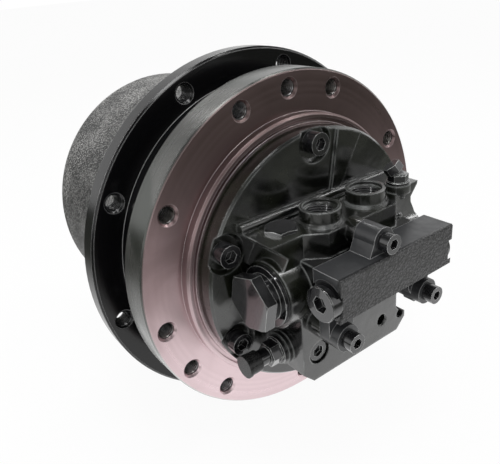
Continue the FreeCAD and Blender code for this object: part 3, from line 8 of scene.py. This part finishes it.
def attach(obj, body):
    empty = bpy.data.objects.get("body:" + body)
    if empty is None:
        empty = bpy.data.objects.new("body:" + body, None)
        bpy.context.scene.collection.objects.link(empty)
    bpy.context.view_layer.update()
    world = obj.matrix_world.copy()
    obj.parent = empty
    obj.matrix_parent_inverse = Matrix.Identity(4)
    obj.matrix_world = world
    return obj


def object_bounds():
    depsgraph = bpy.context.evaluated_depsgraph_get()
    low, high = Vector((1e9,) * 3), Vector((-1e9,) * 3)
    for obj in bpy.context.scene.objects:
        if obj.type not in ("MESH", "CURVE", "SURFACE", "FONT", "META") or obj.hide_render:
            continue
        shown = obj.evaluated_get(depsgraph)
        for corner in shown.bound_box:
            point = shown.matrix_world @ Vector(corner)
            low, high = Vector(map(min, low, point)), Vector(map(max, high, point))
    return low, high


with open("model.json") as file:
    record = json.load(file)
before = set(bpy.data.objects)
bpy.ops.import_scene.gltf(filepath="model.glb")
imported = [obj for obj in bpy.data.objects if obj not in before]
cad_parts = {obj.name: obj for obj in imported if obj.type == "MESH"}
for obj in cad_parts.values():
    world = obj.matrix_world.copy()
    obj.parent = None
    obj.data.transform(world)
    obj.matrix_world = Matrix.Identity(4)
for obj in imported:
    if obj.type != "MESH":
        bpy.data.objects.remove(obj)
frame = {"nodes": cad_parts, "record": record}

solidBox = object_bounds()
cadNodes = frame["nodes"]
scene = bpy.context.scene
scene.view_settings.view_transform = "Standard"


# the camera, with the view that the drive is usually shown in
cameraView = {
    "place": (-0.24957, -0.29529, 0.19842),
    "forward": (0.51633, 0.74157, -0.42833),
    "up": (0.32074, 0.29630, 0.89963),
    "lens": 39.67,
}


def makeCamera(view):
    lens = bpy.data.cameras.new("camera")
    lens.lens = view["lens"]
    lens.sensor_width = 36.0
    lens.sensor_fit = "HORIZONTAL"
    lens.clip_start = 0.01
    forward = Vector(view["forward"]).normalized()
    up = Vector(view["up"]).normalized()
    right = forward.cross(up).normalized()
    up = right.cross(forward)
    turn = Matrix((right, up, -forward)).transposed().to_4x4()
    camera = bpy.data.objects.new("camera", lens)
    camera.matrix_world = Matrix.Translation(Vector(view["place"])) @ turn
    scene.collection.objects.link(camera)
    scene.camera = camera


makeCamera(cameraView)
print("camera placed")


def put(tree, kind, wires=None, **settings):
    # one shader node with its settings, and a value or a link for each named input
    node = tree.nodes.new("ShaderNode" + kind)
    for key, value in settings.items():
        setattr(node, key, value)
    for key, value in (wires or {}).items():
        if isinstance(value, bpy.types.NodeSocket):
            tree.links.new(value, node.inputs[key])
        else:
            node.inputs[key].default_value = value
    return node


def calc(tree, operation, first, second=0.0, third=0.0, clamp=False):
    return put(tree, "Math", {0: first, 1: second, 2: third}, operation=operation, use_clamp=clamp).outputs[0]


def ramp(tree, value, low, high, start=0.0, end=1.0, smooth=True):
    # start below low, end above high, and a smooth step between them
    kind = "SMOOTHSTEP" if smooth else "LINEAR"
    wires = {"Value": value, "From Min": low, "From Max": high, "To Min": start, "To Max": end}
    return put(tree, "MapRange", wires, interpolation_type=kind).outputs[0]


def blendColours(tree, mask, first, second):
    node = tree.nodes.new("ShaderNodeMix")
    node.data_type = "RGBA"
    for key, value in ((0, mask), (6, first), (7, second)):
        if isinstance(value, bpy.types.NodeSocket):
            tree.links.new(value, node.inputs[key])
        else:
            node.inputs[key].default_value = value if key == 0 else (*value, 1.0)
    return node.outputs[2]


def startGroup(name, inputs, outputs):
    tree = bpy.data.node_groups.new(name, "ShaderNodeTree")
    for label, value in inputs.items():
        tree.interface.new_socket(label, in_out="INPUT", socket_type="NodeSocketFloat").default_value = value
    for label, kind in outputs.items():
        tree.interface.new_socket(label, in_out="OUTPUT", socket_type="NodeSocket" + kind)
    given = tree.nodes.new("NodeGroupInput").outputs
    result = tree.nodes.new("NodeGroupOutput").inputs
    return tree, given, result


def useGroup(tree, group, **values):
    node = tree.nodes.new("ShaderNodeGroup")
    node.node_tree = group
    for key, value in values.items():
        label = key[0].upper() + key[1:]
        if isinstance(value, bpy.types.NodeSocket):
            tree.links.new(value, node.inputs[label])
        else:
            node.inputs[label].default_value = value
    return node.outputs


def makeSoftEdge():
    # rounds sharp edges over a radius, and marks where the rounded normal leaves the true one
    tree, given, result = startGroup("softEdge", {"Radius": 0.0008}, {"Normal": "Vector", "Edge": "Float"})
    bevel = put(tree, "Bevel", {"Radius": given["Radius"]}, samples=6).outputs[0]
    true = put(tree, "NewGeometry").outputs["Normal"]
    facing = put(tree, "VectorMath", {0: bevel, 1: true}, operation="DOT_PRODUCT").outputs["Value"]
    tree.links.new(bevel, result["Normal"])
    tree.links.new(ramp(tree, facing, 0.985, 0.80), result["Edge"])
    return tree


def makeSandGrain():
    # lumps of two sizes and small pits, as a sand mould leaves them
    tree, given, result = startGroup("sandGrain", {"Scale": 500.0}, {"Height": "Float", "Tone": "Float"})
    place = put(tree, "TexCoord").outputs["Object"]
    coarse = put(tree, "TexNoise", {"Vector": place, "Scale": given["Scale"], "Detail": 4.0, "Roughness": 0.65})
    cells = put(tree, "TexVoronoi", {"Vector": place, "Scale": calc(tree, "MULTIPLY", given["Scale"], 1.3)})
    lumps = ramp(tree, cells.outputs["Distance"], 0.05, 0.75, 1.0, 0.0)
    broadScale = calc(tree, "MULTIPLY", given["Scale"], 0.12)
    broad = put(tree, "TexNoise", {"Vector": place, "Scale": broadScale, "Detail": 2.0})
    height = calc(tree, "MULTIPLY_ADD", coarse.outputs[0], 0.75, calc(tree, "MULTIPLY", lumps, 0.45))
    height = calc(tree, "MULTIPLY_ADD", broad.outputs[0], 0.5, height)
    tree.links.new(height, result["Height"])
    tree.links.new(ramp(tree, height, 0.55, 1.15), result["Tone"])
    return tree


def makeCastSkin():
    # the slow waves of a painted casting, with a fine orange peel over them
    outputs = {"Height": "Float", "Tone": "Float"}
    tree, given, result = startGroup("castSkin", {"Wave": 55.0, "Peel": 900.0}, outputs)
    place = put(tree, "TexCoord").outputs["Object"]
    wave = put(tree, "TexNoise", {"Vector": place, "Scale": given["Wave"], "Detail": 2.0, "Roughness": 0.45})
    peel = put(tree, "TexNoise", {"Vector": place, "Scale": given["Peel"], "Detail": 2.0})
    height = calc(tree, "MULTIPLY_ADD", peel.outputs[0], 0.045, wave.outputs[0])
    tree.links.new(height, result["Height"])
    tree.links.new(ramp(tree, wave.outputs[0], 0.35, 0.68), result["Tone"])
    return tree


def makeTurnedMarks():
    # fine grooves round the Y axis: noise read along the radius and along the axis only
    outputs = {"Height": "Float", "Tone": "Float", "Radius": "Float"}
    tree, given, result = startGroup("turnedMarks", {"Pitch": 2500.0}, outputs)
    parts = put(tree, "SeparateXYZ", {0: put(tree, "TexCoord").outputs["Object"]}).outputs
    radius = put(tree, "CombineXYZ", {0: parts[0], 1: 0.0, 2: parts[2]}).outputs[0]
    radius = put(tree, "VectorMath", {0: radius}, operation="LENGTH").outputs["Value"]
    along = put(tree, "CombineXYZ", {0: radius, 1: parts[1]}).outputs[0]
    fine = put(tree, "TexNoise", {"Vector": along, "Scale": given["Pitch"], "Detail": 3.0, "Roughness": 0.7})
    broadScale = calc(tree, "MULTIPLY", given["Pitch"], 0.11)
    broad = put(tree, "TexNoise", {"Vector": along, "Scale": broadScale, "Detail": 2.0})
    tree.links.new(fine.outputs[0], result["Height"])
    both = calc(tree, "MULTIPLY_ADD", fine.outputs[0], 0.4, broad.outputs[0])
    tree.links.new(ramp(tree, both, 0.5, 0.95), result["Tone"])
    tree.links.new(radius, result["Radius"])
    return tree


def makeStain():
    # large soft clouds with a warped edge, for oil and handling marks
    tree, given, result = startGroup("stain", {"Scale": 18.0}, {"Tone": "Float"})
    place = put(tree, "TexCoord").outputs["Object"]
    cloud = put(tree, "TexNoise", {"Vector": place, "Scale": given["Scale"], "Detail": 5.0, "Distortion": 0.8})
    tree.links.new(ramp(tree, cloud.outputs[0], 0.36, 0.66), result["Tone"])
    return tree


softEdge = makeSoftEdge()
sandGrain = makeSandGrain()
castSkin = makeCastSkin()
turnedMarks = makeTurnedMarks()
stain = makeStain()
print("shared effects made")


def startMaterial(name, **sockets):
    material = bpy.data.materials.new(name)
    material.use_nodes = True
    tree = material.node_tree
    shader = tree.nodes["Principled BSDF"]
    for label, value in sockets.items():
        shader.inputs[label.replace("_", " ")].default_value = value
    return material, tree, shader.inputs


def addBump(tree, shader, edge, height, strength, distance):
    wires = {"Strength": strength, "Distance": distance, "Height": height, "Normal": edge["Normal"]}
    tree.links.new(put(tree, "Bump", wires).outputs[0], shader["Normal"])


glossPaint = {
    "dark": (0.0020, 0.0022, 0.0022),
    "warm": (0.0085, 0.0100, 0.0058),
    # pale edge colour: partly wear, partly a painted highlight
    "paleEdgeWearAndSheen": (0.23, 0.24, 0.235),
    "roundness": 0.0024,
    "waveDepth": 0.0011,
}


def makeGlossPaint(name, paint):
    # black gloss paint over a cast skin, pale along the edges: partly where the paint has run off them, partly
    # a painted highlight
    coat = {"Coat_Weight": 1.0, "Coat_Roughness": 0.16, "Coat_IOR": 1.62}
    material, tree, shader = startMaterial(name, Specular_IOR_Level=0.5, **coat)
    edge = useGroup(tree, softEdge, radius=paint["roundness"])
    skin = useGroup(tree, castSkin)
    cloud = useGroup(tree, stain, scale=26.0)
    colour = blendColours(tree, cloud["Tone"], paint["dark"], paint["warm"])
    # pale edges: partly wear, partly a painted highlight along every rounded edge
    thinEdgeAndSheen = calc(tree, "MULTIPLY", edge["Edge"], ramp(tree, skin["Tone"], 0.1, 0.9, 0.15, 0.95))
    tree.links.new(blendColours(tree, thinEdgeAndSheen, colour, paint["paleEdgeWearAndSheen"]), shader["Base Color"])
    tree.links.new(ramp(tree, cloud["Tone"], 0.0, 1.0, 0.16, 0.28), shader["Roughness"])
    addBump(tree, shader, edge, skin["Height"], 1.0, paint["waveDepth"])
    return material


hubPaint = {
    "grainColour": (0.014, 0.014, 0.014),
    "grainDust": (0.44, 0.435, 0.42),
    "machined": (0.0025, 0.0025, 0.003),
    # bright: pale edge colour, partly wear and partly a painted highlight
    "bright": (0.55, 0.55, 0.55),
    "drumStart": 0.0668,
    "drumRadius": 0.1222,
    "openEnd": 0.2085,
    "innerRadius": 0.1045,
}


def makeHubPaint(name, paint):
    # rough sand casting on the drum, black enamel over turned marks on the flange and the guard, pale along the
    # enamel's edges: partly wear, partly a painted highlight
    material, tree, shader = startMaterial(name, Specular_IOR_Level=0.5)
    edge = useGroup(tree, softEdge, radius=0.0012)
    grain = useGroup(tree, sandGrain, scale=430.0)
    marks = useGroup(tree, turnedMarks, pitch=1500.0)
    cloud = useGroup(tree, stain, scale=14.0)
    along = put(tree, "SeparateXYZ", {0: put(tree, "TexCoord").outputs["Object"]}).outputs[1]
    behind = ramp(tree, along, paint["drumStart"], paint["drumStart"] + 0.0006)
    within = ramp(tree, marks["Radius"], paint["drumRadius"], paint["drumRadius"] - 0.001)
    outside = ramp(tree, marks["Radius"], paint["innerRadius"], paint["innerRadius"] + 0.0004)
    cast = calc(tree, "MULTIPLY", calc(tree, "MULTIPLY", behind, within), outside)
    cast = calc(tree, "MULTIPLY", cast, ramp(tree, along, paint["openEnd"] + 0.0003, paint["openEnd"] - 0.0003))
    dusty = calc(tree, "MULTIPLY", grain["Tone"], ramp(tree, cloud["Tone"], 0.0, 1.0, 0.45, 1.0))
    rough = blendColours(tree, dusty, paint["grainColour"], paint["grainDust"])
    # pale edge colour on the enamel: partly wear, partly a painted highlight
    wearAndSheen = calc(tree, "MULTIPLY", edge["Edge"], 0.8)
    smooth = blendColours(tree, wearAndSheen, paint["machined"], paint["bright"])
    tree.links.new(blendColours(tree, cast, smooth, rough), shader["Base Color"])
    tree.links.new(ramp(tree, cast, 0.0, 1.0, 0.17, 0.42), shader["Roughness"])
    lathe = calc(tree, "MULTIPLY", marks["Height"], 0.012)
    mixed = put(tree, "Mix", {0: cast, 2: lathe, 3: grain["Height"]}).outputs[0]
    addBump(tree, shader, edge, mixed, 0.9, 0.0024)
    return material


spindleSkin = {
    # top, middle and bottom: the mauve film with painted shade by height, dark at the top and pale at the
    # bottom
    "top": (0.15, 0.108, 0.104),
    "middle": (0.34, 0.245, 0.25),
    "bottom": (0.88, 0.70, 0.73),
    # rimTop and rimBottom: painted shade above and painted reflection below on the bare rim
    "rimTop": (0.10, 0.105, 0.098),
    "rimBottom": (0.62, 0.62, 0.61),
    # step: a painted highlight on the rounded edges at the pilot
    "step": (0.84, 0.76, 0.77),
    "steel": (0.22, 0.215, 0.21),
    "faceDepth": 0.0021,
    "rimRadius": 0.1337,
}


def makeSpindleSkin(name, skin):
    # turned flange face with a dry mauve film and painted shade, darker at the top and paler at the bottom;
    # bare rim with painted shade at the top and a painted reflection at the bottom; painted highlight on the
    # step at the pilot; steel in the holes
    material, tree, shader = startMaterial(name, Metallic=0.86, Anisotropic=0.5)
    edge = useGroup(tree, softEdge, radius=0.0007)
    marks = useGroup(tree, turnedMarks, pitch=2100.0)
    cloud = useGroup(tree, stain, scale=16.0)
    parts = put(tree, "SeparateXYZ", {0: put(tree, "TexCoord").outputs["Object"]}).outputs
    # painted shade: the face and the rim go darker towards the top and paler towards the bottom
    height = calc(tree, "MULTIPLY_ADD", cloud["Tone"], 0.03, parts[2])
    lower = blendColours(tree, ramp(tree, height, 0.06, -0.10), skin["middle"], skin["bottom"])
    filmAndPaintedShade = blendColours(tree, ramp(tree, height, 0.02, 0.135), lower, skin["top"])
    filmAndPaintedShade = blendColours(tree, calc(tree, "MULTIPLY", marks["Tone"], 0.12), filmAndPaintedShade, skin["middle"])
    # painted highlight: the pale step colour along the rounded edges at the pilot chamfer
    filmAndPaintedShade = blendColours(tree, calc(tree, "MULTIPLY", edge["Edge"], 0.7), filmAndPaintedShade, skin["step"])
    rim = ramp(tree, marks["Radius"], skin["rimRadius"], skin["rimRadius"] + 0.0006)
    # painted shade and reflection on the rim: dark at the top, pale at the bottom
    paintedRimShadeAndReflection = blendColours(tree, ramp(tree, height, 0.03, -0.06), skin["rimTop"], skin["rimBottom"])
    bare = blendColours(tree, ramp(tree, cloud["Tone"], 0.2, 0.9, 0.0, 0.5), paintedRimShadeAndReflection, skin["steel"])
    colour = blendColours(tree, rim, filmAndPaintedShade, bare)
    deep = ramp(tree, parts[1], skin["faceDepth"], skin["faceDepth"] + 0.0004)
    notRim = ramp(tree, marks["Radius"], skin["rimRadius"], skin["rimRadius"] - 0.0004)
    colour = blendColours(tree, calc(tree, "MULTIPLY", deep, notRim), colour, skin["steel"])
    tree.links.new(colour, shader["Base Color"])
    smear = calc(tree, "MULTIPLY_ADD", marks["Tone"], 0.06, ramp(tree, cloud["Tone"], 0.0, 1.0, 0.27, 0.36))
    smear = calc(tree, "MULTIPLY_ADD", rim, -0.10, smear)
    tree.links.new(smear, shader["Roughness"])
    addBump(tree, shader, edge, marks["Height"], 0.5, 0.000012)
    return material


barSkin = {
    "hollow": (0.0022, 0.0022, 0.0022),
    "crest": (0.045, 0.045, 0.047),
    "topFace": (0.030, 0.031, 0.033),
    # bright: pale edge colour, partly wear and partly a painted highlight
    "bright": (0.60, 0.60, 0.60),
    "frontLine": -0.0985,
}


def makeBarSkin(name, skin):
    # valve bar: coarse grain on the front, fine skin on the milled top and ends, pale along the edges: partly
    # wear, partly a painted highlight
    material, tree, shader = startMaterial(name, Specular_IOR_Level=0.55, Coat_Weight=0.25, Coat_Roughness=0.2)
    edge = useGroup(tree, softEdge, radius=0.0008)
    grain = useGroup(tree, sandGrain, scale=400.0)
    fine = useGroup(tree, castSkin, wave=90.0, peel=1600.0)
    along = put(tree, "SeparateXYZ", {0: put(tree, "TexCoord").outputs["Object"]}).outputs[1]
    front = ramp(tree, along, skin["frontLine"] + 0.0012, skin["frontLine"] - 0.0004)
    rough = blendColours(tree, grain["Tone"], skin["hollow"], skin["crest"])
    # pale edges on the milled faces: partly wear, partly a painted highlight
    smooth = blendColours(tree, calc(tree, "MULTIPLY", edge["Edge"], 0.8), skin["topFace"], skin["bright"])
    tree.links.new(blendColours(tree, front, smooth, rough), shader["Base Color"])
    tree.links.new(ramp(tree, front, 0.0, 1.0, 0.34, 0.40), shader["Roughness"])
    milled = calc(tree, "MULTIPLY", fine["Height"], 0.35)
    height = put(tree, "Mix", {0: front, 2: milled, 3: grain["Height"]}).outputs[0]
    addBump(tree, shader, edge, height, 0.9, 0.0016)
    return material


def makeFitting(name, dark, bright, roughness, roundness, wearAndSheen):
    # turned and blackened fittings and screws, pale along their edges: partly rubbed wear, partly a painted
    # highlight
    coat = {"Coat_Weight": 0.8, "Coat_Roughness": 0.07, "Coat_IOR": 1.7}
    material, tree, shader = startMaterial(name, Metallic=0.35, Specular_IOR_Level=0.6, **coat)
    edge = useGroup(tree, softEdge, radius=roundness)
    cloud = useGroup(tree, stain, scale=60.0)
    skin = useGroup(tree, castSkin, wave=260.0, peel=3000.0)
    # pale edges: partly rubbed wear, partly a painted highlight
    rubbedAndSheen = calc(tree, "MULTIPLY", edge["Edge"], ramp(tree, skin["Tone"], 0.0, 1.0, wearAndSheen * 0.6, wearAndSheen))
    colour = blendColours(tree, cloud["Tone"], dark, tuple(1.8 * c for c in dark))
    tree.links.new(blendColours(tree, rubbedAndSheen, colour, bright), shader["Base Color"])
    tree.links.new(ramp(tree, cloud["Tone"], 0.0, 1.0, roughness - 0.05, roughness + 0.06), shader["Roughness"])
    addBump(tree, shader, edge, skin["Height"], 0.5, 0.00012)
    return material


def makeSteel(name, pale, oily, roughness, pitch):
    # ground and oiled steel or bronze with turning marks and a thin oil film
    material, tree, shader = startMaterial(name, Metallic=1.0)
    edge = useGroup(tree, softEdge, radius=0.0003)
    marks = useGroup(tree, turnedMarks, pitch=pitch)
    cloud = useGroup(tree, stain, scale=45.0)
    colour = blendColours(tree, calc(tree, "MULTIPLY", cloud["Tone"], 0.7), pale, oily)
    # paler edges: partly rubbed wear, partly a painted highlight
    rubbedAndSheen = tuple(min(1.0, 1.4 * c) for c in pale)
    colour = blendColours(tree, calc(tree, "MULTIPLY", edge["Edge"], 0.5), colour, rubbedAndSheen)
    tree.links.new(colour, shader["Base Color"])
    tree.links.new(calc(tree, "MULTIPLY_ADD", marks["Tone"], 0.12, roughness - 0.05), shader["Roughness"])
    addBump(tree, shader, edge, marks["Height"], 0.4, 0.00004)
    return material


def makeSoftSkin(name, dark, pale, roughness, scale, depth):
    # rubber, moulded plastic and sintered lining: a dull body with a fine grain
    material, tree, shader = startMaterial(name, Specular_IOR_Level=0.4)
    edge = useGroup(tree, softEdge, radius=0.0004)
    grain = useGroup(tree, sandGrain, scale=scale)
    tree.links.new(blendColours(tree, grain["Tone"], dark, pale), shader["Base Color"])
    tree.links.new(ramp(tree, grain["Tone"], 0.0, 1.0, roughness - 0.06, roughness + 0.08), shader["Roughness"])
    addBump(tree, shader, edge, grain["Height"], 0.5, depth)
    return material


def grey(value):
    return (value, value, value)


finishes = {
    "mauve_casting": makeSpindleSkin("mauveFlange", spindleSkin),
    "black_paint": makeGlossPaint("glossPaint", glossPaint),
    "black_casting": makeHubPaint("hubPaint", hubPaint),
    "black_screw": makeFitting("blackScrew", (0.010, 0.010, 0.011), grey(0.80), 0.24, 0.00055, 0.95),
    "black_fitting": makeFitting("blackFitting", (0.008, 0.008, 0.009), (0.80, 0.82, 0.80), 0.20, 0.0008, 0.9),
    "black_plastic": makeSoftSkin("capPlastic", grey(0.006), grey(0.02), 0.28, 900.0, 0.00004),
    "spring_steel": makeSteel("springSteel", (0.30, 0.30, 0.31), (0.12, 0.11, 0.10), 0.34, 3200.0),
    "gear_steel": makeSteel("gearSteel", (0.42, 0.42, 0.43), (0.24, 0.22, 0.19), 0.28, 2600.0),
    "bearing_steel": makeSteel("bearingSteel", (0.58, 0.58, 0.60), (0.40, 0.38, 0.34), 0.18, 3600.0),
    "bronze": makeSteel("bronze", (0.56, 0.36, 0.13), (0.36, 0.22, 0.08), 0.30, 2200.0),
    "seal_rubber": makeSoftSkin("sealRubber", grey(0.012), grey(0.035), 0.6, 1500.0, 0.00003),
    "friction_lining": makeSoftSkin("lining", (0.10, 0.055, 0.03), (0.26, 0.17, 0.10), 0.75, 2200.0, 0.00008),
}
ownFinishes = {"valve_block": makeBarSkin("barSkin", barSkin)}
slotOf = {entry["node"]: entry["material_slot"] for entry in frame["record"]["subparts"]}
for nodeName, piece in cadNodes.items():
    piece.data.materials.clear()
    piece.data.materials.append(ownFinishes.get(nodeName, finishes[slotOf[nodeName]]))
print("finishes given to", len(cadNodes), "nodes")


def makePiece(name, grids, body, material):
    # one mesh from grids of points; each grid is (rows, columns, 3) and closes on itself in neither way
    points, faces, first = [], [], 0
    for grid in grids:
        rows, columns = grid.shape[:2]
        index = first + np.arange(rows * columns).reshape(rows, columns)
        corners = (index[:-1, :-1], index[:-1, 1:], index[1:, 1:], index[1:, :-1])
        faces.append(np.stack(corners, axis=-1).reshape(-1, 4))
        points.append(grid.reshape(-1, 3))
        first += rows * columns
    mesh = bpy.data.meshes.new(name)
    mesh.from_pydata(np.concatenate(points).tolist(), [], np.concatenate(faces).tolist())
    mesh.shade_smooth()
    mesh.materials.append(material)
    piece = bpy.data.objects.new(name, mesh)
    scene.collection.objects.link(piece)
    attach(piece, body)
    return piece


threadCrest = (0.42, 0.58)


def threadGrid(centre, axis, wall, crest, pitch, start, length, steps=28):
    # screw thread inside a hole: a saw profile between wall and crest radius, whose place along the
    # axis is start + pitch * (turns + profile share), swept through angle 2 * pi * turns
    turns = length / pitch
    angle = np.linspace(0.0, 2 * math.pi * turns, int(turns * steps) + 1)[:, None]
    share = np.array([0.0, threadCrest[0], threadCrest[1], 1.0])[None, :]
    radius = np.array([wall, crest, crest, wall])[None, :] + 0 * angle
    along = start + pitch * (angle / (2 * math.pi) + share)
    unit = np.eye(3)
    first, second, third = unit[(axis + 1) % 3], unit[(axis + 2) % 3], unit[axis]
    ring = (radius * np.cos(angle))[..., None] * first + (radius * np.sin(angle))[..., None] * second
    return np.array(centre) + ring + along[..., None] * third


threads = {
    "port": {"wall": 0.00928, "crest": 0.0086, "pitch": 0.00181, "start": 0.0362, "length": 0.0150},
    "frame": {"wall": 0.00598, "crest": 0.0053, "pitch": 0.0020, "start": 0.0022, "length": 0.0206},
    "sprocket": {"wall": 0.00598, "crest": 0.0053, "pitch": 0.0020, "start": 0.0520, "length": 0.0120},
}
portPlace = (0.0216, -0.0505)
frameCircle = {"radius": 0.1227, "angles": (30, 90, 150, 210, 270, 330, 70, 110, 190, 350, 230, 310)}
sprocketCircle = {"radius": 0.1346, "angles": [33.4 + 40 * hole for hole in range(9)]}


def circleCentres(circle):
    turns = [math.radians(angle) for angle in circle["angles"]]
    return [(circle["radius"] * math.cos(turn), 0, circle["radius"] * math.sin(turn)) for turn in turns]


def makeThreads():
    across, forward = portPlace
    ports = [threadGrid((side * across, forward, 0), 2, steps=40, **threads["port"]) for side in (-1, 1)]
    makePiece("port_threads", ports, "casing", finishes["black_screw"])
    holes = [threadGrid(centre, 1, **threads["frame"]) for centre in circleCentres(frameCircle)]
    makePiece("frame_hole_threads", holes, "casing", finishes["gear_steel"])
    holes = [threadGrid(centre, 1, **threads["sprocket"]) for centre in circleCentres(sprocketCircle)]
    makePiece("sprocket_hole_threads", holes, "hub", finishes["black_screw"])


makeThreads()
print("threads cut")


# floor, world and lamps, in metres and watts
studio = {
    "floorLevel": solidBox[0][2],
    "floorReach": 14.0,
    "floorGlow": 0.94,
    "nearFloor": 0.30,
    "farFloor": 0.72,
    "farTone": (0.07, 0.075, 0.058),
    "sky": (1.0, 1.0, 1.0),
    "zenith": (0.06, 0.063, 0.058),
    "skyLight": 0.60,
}


def makeFloor(values):
    mesh = bpy.data.meshes.new("floor")
    reach, level = values["floorReach"], values["floorLevel"] - 0.0002
    corners = [(-reach, -reach, level), (reach, -reach, level), (reach, reach, level), (-reach, reach, level)]
    mesh.from_pydata(corners, [], [(0, 1, 2, 3)])
    floor = bpy.data.objects.new("floor", mesh)
    scene.collection.objects.link(floor)
    material = bpy.data.materials.new("floorPaper")
    material.use_nodes = True
    tree = material.node_tree
    tree.nodes.clear()
    rays = put(tree, "LightPath").outputs
    seen = calc(tree, "MAXIMUM", rays["Is Camera Ray"], rays["Is Glossy Ray"])
    seen = calc(tree, "MAXIMUM", seen, rays["Is Transmission Ray"])
    paper = put(tree, "BsdfDiffuse", {"Color": (0.86, 0.86, 0.86, 1)}).outputs[0]
    spot = put(tree, "TexCoord").outputs["Object"]
    distance = put(tree, "VectorMath", {0: spot}, operation="LENGTH").outputs["Value"]
    away = ramp(tree, distance, values["nearFloor"], values["farFloor"])
    away = calc(tree, "MULTIPLY", away, rays["Is Glossy Ray"])
    tone = blendColours(tree, away, (1.0, 1.0, 1.0), values["farTone"])
    glow = put(tree, "Emission", {"Color": tone, "Strength": 1.0}).outputs[0]
    share = calc(tree, "MULTIPLY", seen, values["floorGlow"])
    mix = put(tree, "MixShader", {0: share, 1: paper, 2: glow}).outputs[0]
    tree.links.new(mix, put(tree, "OutputMaterial").inputs[0])
    mesh.materials.append(material)


def makeWorld(values):
    world = bpy.data.worlds.new("studio")
    scene.world = world
    world.use_nodes = True
    tree = world.node_tree
    tree.nodes.clear()
    rays = put(tree, "LightPath").outputs
    seen = calc(tree, "MAXIMUM", rays["Is Camera Ray"], rays["Is Glossy Ray"])
    seen = calc(tree, "MAXIMUM", seen, rays["Is Transmission Ray"])
    up = put(tree, "SeparateXYZ", {0: put(tree, "TexCoord").outputs["Generated"]}).outputs[2]
    room = blendColours(tree, ramp(tree, up, 0.34, 0.74), values["sky"], values["zenith"])
    soft = put(tree, "Background", {"Color": (1, 1, 1, 1), "Strength": values["skyLight"]}).outputs[0]
    shown = put(tree, "Background", {"Color": room, "Strength": 1.0}).outputs[0]
    mix = put(tree, "MixShader", {0: seen, 1: soft, 2: shown}).outputs[0]
    tree.links.new(mix, put(tree, "OutputWorld").inputs[0])


lamps = {
    "overhead": {"place": (-0.15, -0.25, 1.25), "width": 0.5, "depth": 0.5, "power": 6.0},
    "stripRight": {"place": (0.75, -0.35, 0.95), "width": 0.06, "depth": 0.9, "power": 2.6},
    "stripLeft": {"place": (-0.95, 0.15, 0.75), "width": 0.06, "depth": 0.9, "power": 2.4},
    "stripBack": {"place": (0.30, 0.95, 1.05), "width": 0.8, "depth": 0.06, "power": 3.0},
}


def makeLamp(name, values):
    light = bpy.data.lights.new(name, "AREA")
    light.shape = "RECTANGLE"
    light.size, light.size_y = values["width"], values["depth"]
    light.energy = values["power"]
    lamp = bpy.data.objects.new(name, light)
    lamp.location = values["place"]
    lamp.rotation_euler = (-Vector(values["place"])).to_track_quat("-Z", "Y").to_euler()
    scene.collection.objects.link(lamp)


makeFloor(studio)
makeWorld(studio)
for lampName, lampValues in lamps.items():
    makeLamp(lampName, lampValues)
print("studio lit")
